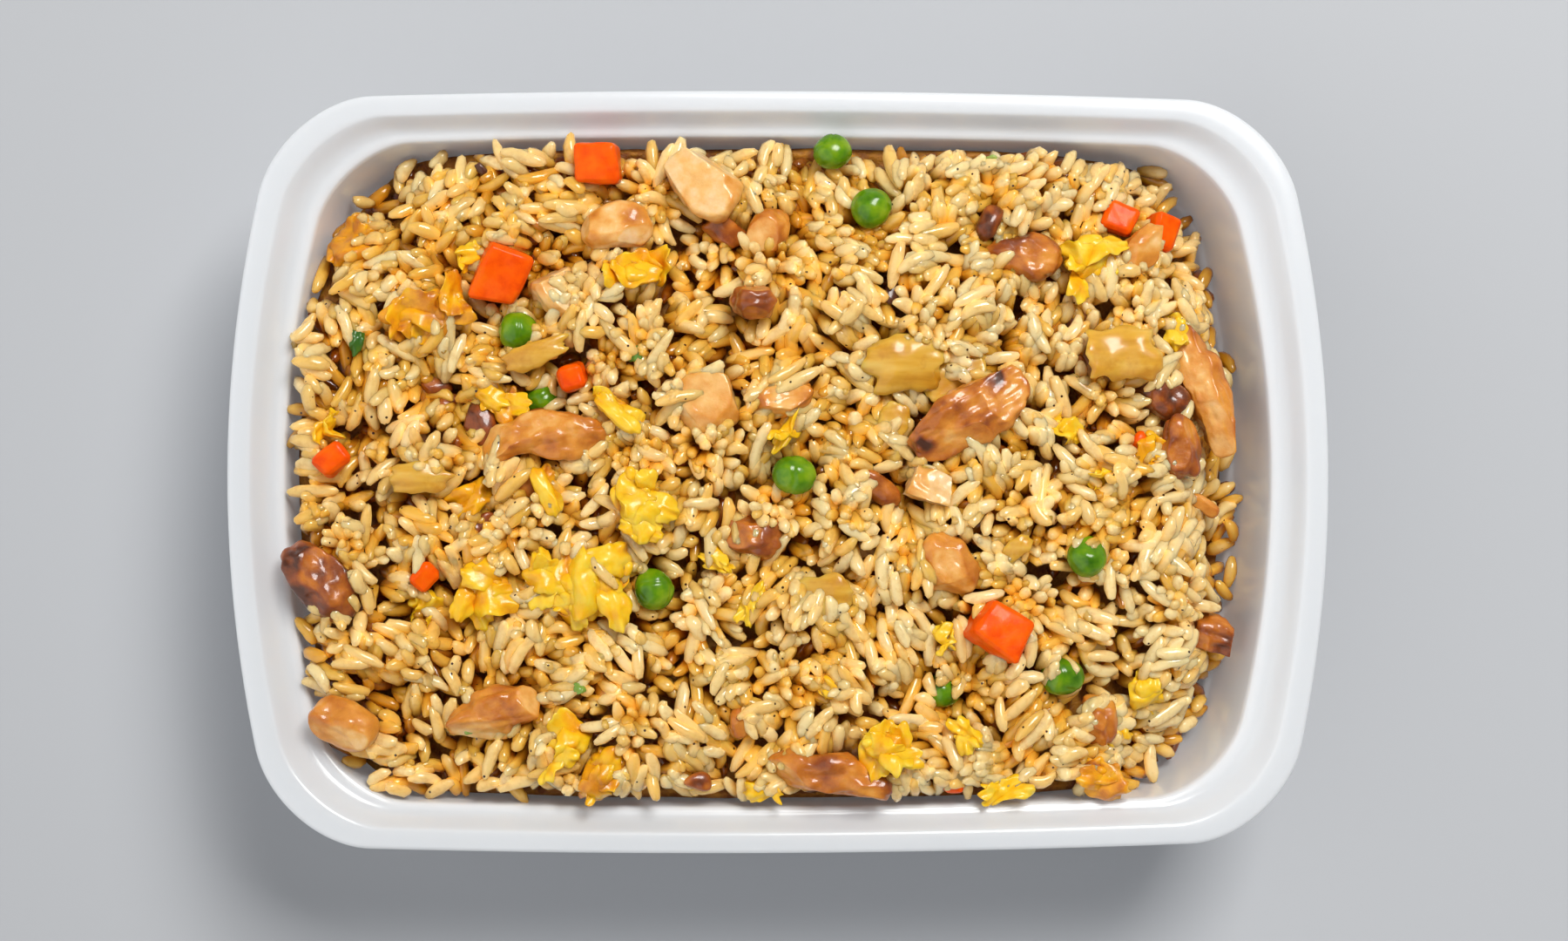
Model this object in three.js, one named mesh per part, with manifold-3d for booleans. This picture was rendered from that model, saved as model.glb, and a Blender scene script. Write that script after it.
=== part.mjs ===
// A rectangular takeaway tray of thin white plastic, filled with chicken fried rice.
// Millimetres, +Z up. The origin is on the table under the middle of the tray, +X runs along
// the long side and +Y towards the far long side. The tray is one thin shell. The rice is one
// solid: a core that fills the tray, with grains fused on top. Each piece of chicken, egg,
// carrot, onion and each pea is a whole solid that sits in a pocket of the rice.
import * as THREE from "three";
import { ConvexGeometry } from "three/addons/geometries/ConvexGeometry.js";
import { mergeVertices } from "three/addons/utils/BufferGeometryUtils.js";
import Module from "manifold-3d";

const wasm = await Module();
wasm.setup();

// Driving dimensions of the tray
const LENGTH = 222;
const WIDTH = 153.6;
const HEIGHT = 51;
const WALL = 0.8;
const CORNER_RADIUS = 20;
const END_BOW = 10.6; // how far the short ends bulge between their corners
const SIDE_BOW = 2.0; // the same for the long sides
const CORNER_TIGHTENING = 0.4; // corner radius lost for each millimetre further in

// Driving dimensions of the food
const GAP = 0.35; // clearance between the rice and the tray
const POCKET_GAP = 0.5; // the same round each piece that sits in the rice
const EDGE_LEVEL = 43.5; // rice level against the walls
const CROWN = 8.5; // how much higher the middle of the heap is
const SLUMP = 19; // how far the rice drops along the right-hand end
const RICE_CELL = 6.6; // spacing of the bumps on the rice
const BUMP = 0.9;
const GRAIN = { length: 7.0, width: 2.7, height: 2.4 };
const GRAIN_SPACING = 14;

const colours = {
  plastic: 0xf1f3f6,
  rice: 0xe2c995,
  carrot: 0xf0640f,
  pea: 0x4f9a14,
  chicken: 0xd9a06a,
  egg: 0xf0bd2c,
  onion: 0xe0bf74,
};

// A repeatable stream of random numbers from 0 to 1
function seeded(seed) {
  let state = (seed * 7919 + 104729) % 2147483647;
  return () => {
    state = (state * 48271) % 2147483647;
    return state / 2147483647;
  };
}

// A closed mesh as a solid that can be joined and cut
function solidOf(geometry) {
  const bare = geometry.clone();
  bare.deleteAttribute("normal");
  bare.deleteAttribute("uv");
  const merged = mergeVertices(bare, 1e-4);
  return new wasm.Manifold(
    new wasm.Mesh({
      numProp: 3,
      vertProperties: merged.attributes.position.array,
      triVerts: new Uint32Array(merged.index.array),
    }),
  );
}

function geometryOf(solid) {
  const mesh = solid.getMesh();
  const geometry = new THREE.BufferGeometry();
  geometry.setAttribute("position", new THREE.BufferAttribute(mesh.vertProperties, 3));
  geometry.setIndex(new THREE.BufferAttribute(mesh.triVerts, 1));
  geometry.computeVertexNormals();
  return geometry;
}

function foodMaterial(name, roughness) {
  return new THREE.MeshStandardMaterial({ color: colours[name], roughness, metalness: 0 });
}

// Tray outline

const CORNER_STEPS = 4;
const LONG_STEPS = 6;
const SHORT_STEPS = 6;

// One closed ring of the tray at given insets from the rim: a rounded rectangle whose sides
// are then bowed by pulling its corners in. Anticlockwise, the same count at every inset.
function ring(endInset, sideInset, z) {
  const a = LENGTH / 2 - endInset;
  const b = WIDTH / 2 - sideInset;
  const radius = CORNER_RADIUS - CORNER_TIGHTENING * sideInset;
  const corners = [
    { x: 1, y: 1, steps: LONG_STEPS },
    { x: -1, y: 1, steps: SHORT_STEPS },
    { x: -1, y: -1, steps: LONG_STEPS },
    { x: 1, y: -1, steps: SHORT_STEPS },
  ];
  const points = [];
  corners.forEach((corner, i) => {
    const next = corners[(i + 1) % 4];
    const centre = new THREE.Vector2(corner.x * (a - radius), corner.y * (b - radius));
    const nextCentre = new THREE.Vector2(next.x * (a - radius), next.y * (b - radius));
    const start = (i * Math.PI) / 2;
    for (let k = 0; k <= CORNER_STEPS; k++) {
      const angle = start + ((Math.PI / 2) * k) / CORNER_STEPS;
      points.push(
        new THREE.Vector2(radius * Math.cos(angle), radius * Math.sin(angle)).add(centre),
      );
    }
    const end = points[points.length - 1];
    const toNext = nextCentre.clone().sub(centre);
    for (let k = 1; k < corner.steps; k++) {
      points.push(end.clone().addScaledVector(toNext, k / corner.steps));
    }
  });
  return points.map(
    (p) =>
      new THREE.Vector3(
        p.x * (1 - (END_BOW / a) * (p.y / b) ** 2),
        p.y * (1 - (SIDE_BOW / b) * (p.x / a) ** 2),
        z,
      ),
  );
}

// A closed solid through a list of rings, with a flat cap at each end. The rings run from
// the bottom centre outwards and back in to the top centre.
function loft(rings) {
  const count = rings[0].length;
  const vertices = [];
  const faces = [];
  for (const points of rings) for (const p of points) vertices.push(p.x, p.y, p.z);
  const first = vertices.length / 3;
  vertices.push(0, 0, rings[0][0].z);
  vertices.push(0, 0, rings[rings.length - 1][0].z);
  const top = (rings.length - 1) * count;
  for (let j = 0; j < count; j++) {
    const k = (j + 1) % count;
    faces.push(first, k, j);
    faces.push(first + 1, top + j, top + k);
    for (let i = 0; i + 1 < rings.length; i++) {
      const low = i * count;
      const high = low + count;
      faces.push(low + j, low + k, high + k, low + j, high + k, high + j);
    }
  }
  const geometry = new THREE.BufferGeometry();
  geometry.setAttribute("position", new THREE.Float32BufferAttribute(vertices, 3));
  geometry.setIndex(faces);
  geometry.computeVertexNormals();
  return geometry;
}

// Inside of the tray from the floor up to the rim: insets from the outer edge on the short
// ends and the long sides, and the height above the table
const INSIDE = [
  { end: 23.2, side: 19.2, z: WALL }, // edge of the flat floor
  { end: 20.2, side: 16.4, z: 2.0 },
  { end: 18.6, side: 14.9, z: 5.4 },
  { end: 15.8, side: 12.6, z: 25.8 },
  { end: 14.3, side: 11.1, z: 27.0 }, // narrow stacking step half way down
  { end: 11.1, side: 9.0, z: 45.8 },
  { end: 10.4, side: 8.4, z: 46.5 }, // lid ledge
  { end: 7.9, side: 6.7, z: 46.8 },
  { end: 5.0, side: 4.6, z: 50.3 },
  { end: 4.2, side: 3.9, z: HEIGHT }, // flat flange
  { end: 0.9, side: 0.9, z: HEIGHT },
  { end: 0.2, side: 0.2, z: HEIGHT - 0.35 },
  { end: 0, side: 0, z: HEIGHT - 1.1 },
];
// Underside of the wall from the hanging lip of the rim back down to the table
const LIP_DROP = 3.6;
const OUTSIDE = [
  { end: 0, side: 0, z: HEIGHT - LIP_DROP },
  { end: 0.8, side: 0.8, z: HEIGHT - LIP_DROP },
  { end: 0.9, side: 0.9, z: HEIGHT - 1.0 },
  { end: 3.6, side: 3.3, z: HEIGHT - 1.0 },
  { end: 4.3, side: 3.9, z: 49.8 },
  { end: 7.2, side: 6.0, z: 46.1 },
  { end: 9.9, side: 7.9, z: 45.7 },
  { end: 13.4, side: 10.2, z: 26.5 },
  { end: 15.0, side: 11.8, z: 25.4 },
  { end: 17.8, side: 14.1, z: 5.2 },
  { end: 19.4, side: 15.6, z: 1.3 },
  { end: 22.8, side: 18.8, z: 0 }, // edge of the flat base
];

function trayGeometry() {
  const outside = [...OUTSIDE].reverse();
  const inside = [...INSIDE].reverse();
  return loft([...outside, ...inside].map((s) => ring(s.end, s.side, s.z)));
}

// The space that the rice may fill: the inside of the tray less a small gap, with straight
// walls above the lid ledge
function roomForRice() {
  const stations = INSIDE.slice(0, 6);
  const rings = stations.map((s) => ring(s.end + GAP, s.side + GAP, s.z + GAP));
  const last = stations[stations.length - 1];
  rings.push(ring(last.end + GAP, last.side + GAP, HEIGHT + 20));
  return solidOf(loft(rings));
}

// Rice heap

// Named rises and dips of the heap: middle, reach along x and y, and height
const RISES = [
  { x: 10, y: 35, alongX: 11, alongY: 9, height: 3.0 },
  { x: 34, y: 38, alongX: 15, alongY: 8, height: 3.0 },
  { x: -13, y: 31, alongX: 11, alongY: 8, height: 2.0 },
  { x: -76, y: 6, alongX: 11, alongY: 8, height: 3.0 },
  { x: -78, y: 40, alongX: 9, alongY: 8, height: 1.5 },
  { x: -48, y: 54, alongX: 10, alongY: 7, height: 2.0 },
  { x: 18, y: -22, alongX: 12, alongY: 10, height: 3.0 },
  { x: -2, y: -43, alongX: 13, alongY: 8, height: 3.0 },
  { x: -32, y: -53, alongX: 10, alongY: 7, height: 2.5 },
  { x: 50, y: -4, alongX: 13, alongY: 8, height: 3.0 },
  { x: 71, y: -20, alongX: 11, alongY: 9, height: 2.5 },
  { x: 43, y: -55, alongX: 12, alongY: 7, height: 2.0 },
  { x: -80, y: -36, alongX: 10, alongY: 8, height: 2.0 },
  { x: 52, y: 53, alongX: 12, alongY: 7, height: 3.0 },
  { x: -22, y: -8, alongX: 12, alongY: 8, height: 2.0 },
];
const DIPS = [
  { x: -68, y: 15.5, alongX: 9, alongY: 4, height: 6.0 },
  { x: 60, y: 33, alongX: 6, alongY: 3.5, height: 6.5 },
  { x: 46, y: 43, alongX: 6, alongY: 4, height: 3.0 },
  { x: -49, y: 14, alongX: 5, alongY: 4, height: 5.0 },
  { x: -10, y: -8, alongX: 6, alongY: 5, height: 4.0 },
  { x: 33, y: -44, alongX: 5, alongY: 4.5, height: 5.0 },
  { x: 26, y: -16, alongX: 5, alongY: 5, height: 3.0 },
  { x: -26, y: -20, alongX: 5, alongY: 4, height: 3.0 },
  { x: -70, y: -27, alongX: 8, alongY: 4, height: 5.0 },
  { x: -8, y: -34, alongX: 5, alongY: 3.5, height: 3.0 },
  { x: -7, y: 46, alongX: 7, alongY: 4, height: 4.0 },
  { x: -60, y: -8, alongX: 7, alongY: 4, height: 3.0 },
  { x: -96, y: 62, alongX: 13, alongY: 11, height: 19 }, // far left corner
  { x: 90, y: 60, alongX: 15, alongY: 12, height: 17 }, // far right corner
  { x: 90, y: -62, alongX: 14, alongY: 13, height: 17 }, // near right corner
  { x: -100, y: -66, alongX: 9, alongY: 8, height: 12 }, // near left corner
];
const SLUMP_START = 82;
const SLUMP_END = 94;
const LOWEST_RICE = 24;

function rise(list, x, y) {
  let sum = 0;
  for (const s of list) {
    sum += s.height * Math.exp(-(((x - s.x) / s.alongX) ** 2 + ((y - s.y) / s.alongY) ** 2) / 2);
  }
  return sum;
}

// Height of the bare rice above the table
function riceLevel(x, y) {
  const across = 0.55 * (x / 100) ** 2 + 0.45 * (y / 68) ** 2;
  const slump = SLUMP * THREE.MathUtils.smoothstep(x, SLUMP_START, SLUMP_END);
  const level = EDGE_LEVEL + CROWN * (1 - across) - slump + rise(RISES, x, y) - rise(DIPS, x, y);
  return Math.max(level, LOWEST_RICE);
}

// A block whose top is the rice level with a random bump at each grid point
function riceBlock() {
  const nx = Math.round((LENGTH - 12) / RICE_CELL);
  const ny = Math.round((WIDTH - 10) / RICE_CELL);
  const random = seeded(3);
  const vertices = [];
  const faces = [];
  for (const layer of [0, 1]) {
    for (let j = 0; j <= ny; j++) {
      for (let i = 0; i <= nx; i++) {
        const inner = i > 0 && j > 0 && i < nx && j < ny ? layer : 0;
        const x = (i - nx / 2 + inner * 0.5 * (random() - 0.5)) * RICE_CELL;
        const y = (j - ny / 2 + inner * 0.5 * (random() - 0.5)) * RICE_CELL;
        vertices.push(x, y, layer ? riceLevel(x, y) + BUMP * (2 * random() - 1) : -5);
      }
    }
  }
  const row = nx + 1;
  const top = row * (ny + 1);
  for (let j = 0; j < ny; j++) {
    for (let i = 0; i < nx; i++) {
      const p = j * row + i;
      faces.push(p, p + row, p + row + 1, p, p + row + 1, p + 1);
      const q = p + top;
      if ((i + j) % 2) faces.push(q, q + 1, q + row + 1, q, q + row + 1, q + row);
      else faces.push(q, q + 1, q + row, q + 1, q + row + 1, q + row);
    }
  }
  const wallStrip = (from, to) => faces.push(from, to, to + top, from, to + top, from + top);
  for (let i = 0; i < nx; i++) {
    wallStrip(i, i + 1);
    wallStrip(ny * row + i + 1, ny * row + i);
  }
  for (let j = 0; j < ny; j++) {
    wallStrip(j * row + nx, (j + 1) * row + nx);
    wallStrip((j + 1) * row, j * row);
  }
  const geometry = new THREE.BufferGeometry();
  geometry.setAttribute("position", new THREE.Float32BufferAttribute(vertices, 3));
  geometry.setIndex(faces);
  return solidOf(geometry);
}

// The slope of the rice level at a point, as a surface normal
function riceNormal(x, y) {
  const reach = 2.5;
  return new THREE.Vector3(
    riceLevel(x - reach, y) - riceLevel(x + reach, y),
    riceLevel(x, y - reach) - riceLevel(x, y + reach),
    2 * reach,
  ).normalize();
}

// Whole grains laid over the heap, one to each cell of a wide grid, clear of the toppings
// and of the tray wall
function looseGrains(toppings) {
  const random = seeded(11);
  const grains = [];
  const geometry = new THREE.SphereGeometry(0.5, 6, 3).rotateZ(Math.PI / 2);
  const inside = INSIDE[5];
  for (let y = -64; y <= 64; y += GRAIN_SPACING) {
    for (let x = -95; x <= 90; x += GRAIN_SPACING) {
      const px = x + GRAIN_SPACING * random();
      const py = y + GRAIN_SPACING * random();
      const turn = Math.PI * random();
      const lift = 0.2 + 0.7 * random();
      const size = 0.88 + 0.26 * random();
      const a = LENGTH / 2 - inside.end - 4.5;
      const b = WIDTH / 2 - inside.side - 4.5;
      const inTray = Math.abs(px / a) ** 7 + Math.abs(py / b) ** 7 < 1 && px < SLUMP_START;
      const covered = toppings.some(
        (t) => Math.hypot(px - t.at[0], py - t.at[1]) < t.size[0] / 2 + 3.6,
      );
      if (!inTray || covered) continue;
      const lie = new THREE.Quaternion().setFromUnitVectors(
        new THREE.Vector3(0, 0, 1),
        riceNormal(px, py),
      );
      const spin = new THREE.Quaternion().setFromAxisAngle(new THREE.Vector3(0, 0, 1), turn);
      const matrix = new THREE.Matrix4().compose(
        new THREE.Vector3(px, py, riceLevel(px, py) + lift),
        lie.multiply(spin),
        new THREE.Vector3(GRAIN.length, GRAIN.width, GRAIN.height).multiplyScalar(size),
      );
      grains.push(solidOf(geometry.clone().applyMatrix4(matrix)));
    }
  }
  return grains;
}

// Shapes of the toppings. Each takes its size along x, y and z and a margin that makes it
// larger all round, for the pocket that it leaves in the rice.

// A cooked lump: a ball squared off towards a box, made uneven by a few slow waves, and bent
function lump({ size, square = 2.6, rough = 0.1, bend = 0, detail = 1, seed = 1 }, margin) {
  const random = seeded(seed);
  const waves = Array.from({ length: 4 }, () => ({
    along: new THREE.Vector3(random() - 0.5, random() - 0.5, random() - 0.5).multiplyScalar(9),
    phase: 6.28 * random(),
  }));
  const geometry = new THREE.IcosahedronGeometry(1, detail);
  const positions = geometry.attributes.position;
  const p = new THREE.Vector3();
  for (let i = 0; i < positions.count; i++) {
    p.fromBufferAttribute(positions, i);
    const box = Math.abs(p.x) ** square + Math.abs(p.y) ** square + Math.abs(p.z) ** square;
    let radius = box ** (-1 / square);
    for (const wave of waves) radius += rough * Math.sin(wave.along.dot(p) + wave.phase) * 0.6;
    p.multiplyScalar(radius);
    const y = p.y * (size[1] / 2 + margin) + bend * (p.x ** 2 - 0.4);
    positions.setXYZ(i, p.x * (size[0] / 2 + margin), y, p.z * (size[2] / 2 + margin));
  }
  return geometry;
}

// A diced cube with its corners and edges taken off, a little out of square
function dice({ size, seed = 1 }, margin) {
  const random = seeded(seed);
  const chamfer = 0.8;
  const points = [];
  for (const sx of [-1, 1]) {
    for (const sy of [-1, 1]) {
      for (const sz of [-1, 1]) {
        const corner = [sx, sy, sz].map(
          (s, axis) => s * (size[axis] / 2 + margin) - s * 0.14 * size[axis] * random(),
        );
        for (const axis of [0, 1, 2]) {
          const point = corner.map((c, k) => (k === axis ? c : c - Math.sign(c) * chamfer));
          points.push(new THREE.Vector3(...point));
        }
      }
    }
  }
  return new ConvexGeometry(points);
}

// A cooked pea: a ball a little flattened, with a dent where the skin has drawn in
function pea({ size, dent = 0.12, seed = 1 }, margin) {
  const random = seeded(seed);
  const towards = new THREE.Vector3(random() - 0.5, random() - 0.5, 0.6).normalize();
  const geometry = new THREE.IcosahedronGeometry(1, 1);
  const positions = geometry.attributes.position;
  const p = new THREE.Vector3();
  for (let i = 0; i < positions.count; i++) {
    p.fromBufferAttribute(positions, i);
    const near = Math.max(0, p.dot(towards));
    p.multiplyScalar(1 - dent * near ** 6);
    positions.setXYZ(
      i,
      p.x * (size[0] / 2 + margin),
      p.y * (size[1] / 2 + margin),
      p.z * (size[2] / 2 + margin),
    );
  }
  return geometry;
}

// A thin wavy piece: a grid of cells with a face above and a face below, both split alike.
// It narrows towards its ends, curls across its width and ripples along its length.
function sheet({ size, thick = 1.8, narrow = 0.5, curl = 0.25, ripple = 0.2, seed = 1 }, margin) {
  const random = seeded(seed);
  const phase = 6.28 * random();
  const along = 5;
  const across = 2;
  const vertices = [];
  const faces = [];
  for (const side of [-1, 1]) {
    for (let j = 0; j <= across; j++) {
      for (let i = 0; i <= along; i++) {
        const u = (2 * i) / along - 1;
        const v = (2 * j) / across - 1;
        const width = (size[1] / 2) * (1 - narrow * u * u) + margin;
        const wave = ripple * Math.sin(2.6 * u + phase + 1.2 * v) + curl * (v * v - 0.4);
        const rim = 1 - 0.45 * Math.max(u * u, v * v);
        const z = size[2] * wave + side * ((thick / 2) * rim + margin);
        vertices.push(u * (size[0] / 2 + margin), v * width, z);
      }
    }
  }
  const row = along + 1;
  const top = row * (across + 1);
  for (let j = 0; j < across; j++) {
    for (let i = 0; i < along; i++) {
      const p = j * row + i;
      faces.push(p, p + row, p + row + 1, p, p + row + 1, p + 1);
      const q = p + top;
      faces.push(q, q + row + 1, q + row, q, q + 1, q + row + 1);
    }
  }
  const rimStrip = (from, to) => faces.push(from, to, to + top, from, to + top, from + top);
  for (let i = 0; i < along; i++) {
    rimStrip(i, i + 1);
    rimStrip(across * row + i + 1, across * row + i);
  }
  for (let j = 0; j < across; j++) {
    rimStrip(j * row + along, (j + 1) * row + along);
    rimStrip((j + 1) * row, j * row);
  }
  const geometry = new THREE.BufferGeometry();
  geometry.setAttribute("position", new THREE.Float32BufferAttribute(vertices, 3));
  geometry.setIndex(faces);
  geometry.computeVertexNormals();
  return geometry;
}

// Toppings, each with its middle over the tray, its size, how far its middle stands above
// the rice level, and how it is turned about +Z, leaned end to end and rolled, in degrees
const CARROTS = [
  { at: [-37.0, 62.0], size: [10.0, 9.2, 9.0], lift: 2.6, turn: 2, lean: 0, roll: 6 },
  { at: [-56.6, 39.6], size: [13.6, 11.0, 10.0], lift: 1.6, turn: 68, lean: -8, roll: 10 },
  { at: [-42.2, 18.6], size: [6.4, 6.0, 6.0], lift: 1.6, turn: 20, lean: 0, roll: 0 },
  { at: [43.2, -32.2], size: [12.0, 11.6, 10.6], lift: 2.8, turn: -31, lean: 8, roll: -14 },
  { at: [78.6, 49.4], size: [9.0, 6.6, 7.0], lift: 2.0, turn: 70, lean: 0, roll: 20 },
  { at: [69.2, 51.4], size: [8.0, 6.6, 6.0], lift: 1.2, turn: -20, lean: 0, roll: -10 },
  { at: [-71.6, -21.4], size: [6.4, 5.2, 5.4], lift: 2.4, turn: 50, lean: 0, roll: 12 },
  { at: [-90.0, 2.0], size: [7.4, 5.8, 5.6], lift: 1.6, turn: 40, lean: 0, roll: 0 },
];

const PEAS = [
  { at: [10.4, 64.4], size: [8.0, 7.4, 7.2], lift: 0.8 },
  { at: [18.0, 52.6], size: [8.4, 8.4, 7.8], lift: 1.8 },
  { at: [-53.0, 28.0], size: [8.6, 8.0, 7.6], lift: -0.4 },
  { at: [-48.6, 14.6], size: [7.6, 7.2, 7.0], lift: 1.0 },
  { at: [2.2, -1.0], size: [9.2, 7.8, 7.6], lift: 2.0 },
  { at: [-25.8, -23.8], size: [8.2, 8.6, 7.8], lift: 2.0 },
  { at: [61.2, -17.6], size: [8.2, 8.6, 7.4], lift: 2.0, dent: 0.34 },
  { at: [56.6, -41.6], size: [9.4, 8.0, 7.6], lift: 0.4 },
  { at: [32.8, -44.6], size: [7.4, 7.2, 7.0], lift: 1.0 },
];

const CHICKEN = [
  { at: [-16.2, 57.2], size: [16.6, 11.6, 10.0], lift: 2.4, turn: -28, square: 4.6 },
  { at: [-33.2, 48.4], size: [14.0, 9.0, 8.0], lift: 1.4, turn: 4, square: 2.4 },
  { at: [-44.6, 36.2], size: [9.4, 10.2, 8.6], lift: 0.6, turn: 20, square: 3.2 },
  { at: [-2.0, 48.2], size: [10.0, 8.0, 8.0], lift: 1.8, turn: 65, square: 2.6 },
  { at: [-5.4, 33.4], size: [8.2, 6.6, 6.6], lift: 1.6, turn: -10, square: 2.6 },
  { at: [-15.8, 13.8], size: [13.4, 11.6, 9.6], lift: 1.4, turn: -8, square: 4.4 },
  { at: [-0.8, 14.6], size: [11.4, 8.8, 7.6], lift: 1.4, turn: 25, square: 2.4 },
  { at: [-47.4, 6.4], size: [25.0, 8.6, 6.6], lift: 2.8, turn: 6, bend: -1.6, detail: 2 },
  { at: [36.2, 11.0], size: [27.0, 11.2, 8.6], lift: 4.2, turn: 33, square: 3.0, detail: 2 },
  { at: [29.6, -3.6], size: [13.2, 7.8, 6.4], lift: 0.8, turn: -26, square: 3.6 },
  { at: [33.2, -18.8], size: [13.6, 9.6, 7.0], lift: 1.6, turn: -52, square: 2.2 },
  { at: [-5.2, -12.4], size: [10.4, 8.0, 7.0], lift: 2.2, turn: -6, square: 2.8 },
  { at: [-92.0, -21.6], size: [19.0, 9.6, 6.8], lift: 3.6, turn: -52, square: 2.8 },
  { at: [-87.8, -51.0], size: [13.0, 8.4, 8.0], lift: 5.4, turn: -18, square: 2.5 },
  { at: [-56.4, -48.4], size: [18.0, 10.6, 7.6], lift: 1.6, turn: 10, square: 2.6, rough: 0.16 },
  { at: [9.2, -61.4], size: [27.0, 7.8, 6.4], lift: 2.4, turn: -9, square: 2.4, detail: 2 },
  { at: [86.6, 16.0], size: [28.0, 8.0, 7.6], lift: 4.0, turn: -69, bend: 1.2, detail: 2 },
  { at: [80.4, 4.0], size: [12.6, 8.0, 7.0], lift: 1.4, turn: -78, square: 2.4 },
  { at: [48.6, 43.6], size: [14.6, 8.0, 7.0], lift: 1.4, turn: -12, square: 2.8 },
  { at: [73.8, 45.2], size: [12.0, 6.4, 6.0], lift: 4.6, turn: 54, square: 3.2 },
  { at: [89.4, -34.2], size: [11.0, 8.4, 7.4], lift: 8.6, turn: -20, square: 2.6, rough: 0.18 },
  { at: [64.4, -51.0], size: [6.6, 9.6, 6.4], lift: 1.0, turn: 6, square: 2.4 },
];

const EGGS = [
  { at: [-71.2, 32.3], size: [16.6, 8.8, 6.0], lift: 2.0, turn: 8, square: 2.6 },
  { at: [-32.5, 11.4], size: [17.0, 7.0, 5.4], lift: 3.0, turn: -38, square: 2.4 },
  { at: [-30.2, 40.0], size: [11.4, 6.2, 5.4], lift: 2.6, turn: -4, square: 2.4 },
  { at: [-58.6, 14.4], size: [11.4, 5.0, 4.0], lift: 2.6, turn: -14, thin: true },
  { at: [-47.0, -4.0], size: [11.0, 6.4, 5.0], lift: 2.0, turn: -58, thin: true },
  { at: [-29.0, -6.6], size: [14.6, 8.4, 5.0], lift: 3.0, turn: -60, square: 2.4 },
  { at: [-40.6, -22.4], size: [17.0, 15.0, 7.0], lift: 2.6, turn: 30, square: 2.4, detail: 2 },
  { at: [-59.3, -24.4], size: [14.6, 9.4, 5.0], lift: 1.8, turn: -4, square: 2.4 },
  { at: [61.4, 42.6], size: [11.4, 8.4, 5.6], lift: 1.4, turn: 30, square: 2.4 },
  { at: [-44.6, -55.6], size: [9.0, 7.8, 5.4], lift: 2.0, turn: 20, square: 2.4 },
  { at: [-35.8, -60.4], size: [11.0, 8.6, 6.0], lift: 2.0, turn: 70, square: 2.4 },
  { at: [20.8, -55.2], size: [11.0, 7.4, 5.6], lift: 4.6, turn: -6, square: 2.4 },
  { at: [63.6, -60.6], size: [9.4, 7.4, 6.0], lift: 3.0, turn: -40, square: 2.4 },
];

const ONIONS = [
  { at: [24.8, 21.6], size: [15.0, 11.4, 6.0], lift: 2.2, turn: 12, curl: 0.4 },
  { at: [67.8, 23.0], size: [14.4, 11.6, 6.0], lift: 4.4, turn: 4, curl: 0.5 },
  { at: [-49.4, 23.2], size: [13.4, 5.4, 5.0], lift: 3.0, turn: 20, curl: 0.3 },
  { at: [-72.4, -1.6], size: [12.6, 6.0, 5.0], lift: 2.4, turn: 5, curl: 0.4 },
];

// All the toppings in one list, each with its name, shape and material
function allToppings() {
  const kinds = [
    { kind: "carrot", list: CARROTS, shape: () => dice, roughness: 0.35 },
    { kind: "pea", list: PEAS, shape: () => pea, roughness: 0.3 },
    { kind: "chicken", list: CHICKEN, shape: () => lump, roughness: 0.5 },
    { kind: "egg", list: EGGS, shape: (piece) => (piece.thin ? sheet : lump), roughness: 0.4 },
    { kind: "onion", list: ONIONS, shape: () => sheet, roughness: 0.3 },
  ];
  const looks = {
    egg: { rough: 0.2, thick: 2.2, ripple: 0.3 },
    onion: { thick: 1.8, narrow: 0.2, ripple: 0.08 },
  };
  const toppings = [];
  for (const { kind, list, shape, roughness } of kinds) {
    const material = foodMaterial(kind, roughness);
    list.forEach((piece, i) => {
      const made = { seed: i + 1, ...looks[kind], ...piece };
      toppings.push({ ...made, name: `${kind}_${i + 1}`, shape: shape(piece), material });
    });
  }
  return toppings;
}

// Build the tray, the toppings and the rice round them

const dish = new THREE.Group();

const tray = new THREE.Mesh(
  trayGeometry(),
  new THREE.MeshStandardMaterial({ color: colours.plastic, roughness: 0.28, metalness: 0 }),
);
tray.name = "tray";
dish.add(tray);

const toppings = allToppings();
const pockets = [];
for (const piece of toppings) {
  const mesh = new THREE.Mesh(piece.shape(piece, 0), piece.material);
  mesh.name = piece.name;
  const [x, y] = piece.at;
  mesh.position.set(x, y, riceLevel(x, y) + piece.lift);
  const { degToRad } = THREE.MathUtils;
  mesh.rotation.order = "ZYX";
  mesh.rotation.set(degToRad(piece.roll || 0), degToRad(piece.lean || 0), degToRad(piece.turn || 0));
  mesh.updateMatrixWorld(true);
  dish.add(mesh);
  pockets.push(solidOf(piece.shape(piece, POCKET_GAP).applyMatrix4(mesh.matrixWorld)));
}

// The rice keeps only its outer skin: a hollow that fusing seals is filled, a scrap dropped
function riceSolid() {
  const heap = wasm.Manifold.union([riceBlock(), ...looseGrains(toppings)]).intersect(roomForRice());
  const cut = heap.subtract(wasm.Manifold.union(pockets));
  const shells = cut.decompose();
  return shells.reduce((a, b) => (b.volume() > a.volume() ? b : a));
}

const rice = new THREE.Mesh(geometryOf(riceSolid()), foodMaterial("rice", 0.45));
rice.name = "fried_rice";
dish.add(rice);

export default dish;
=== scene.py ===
import math

import bpy
import numpy as np
from mathutils import Matrix, Vector
from mathutils.bvhtree import BVHTree


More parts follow.
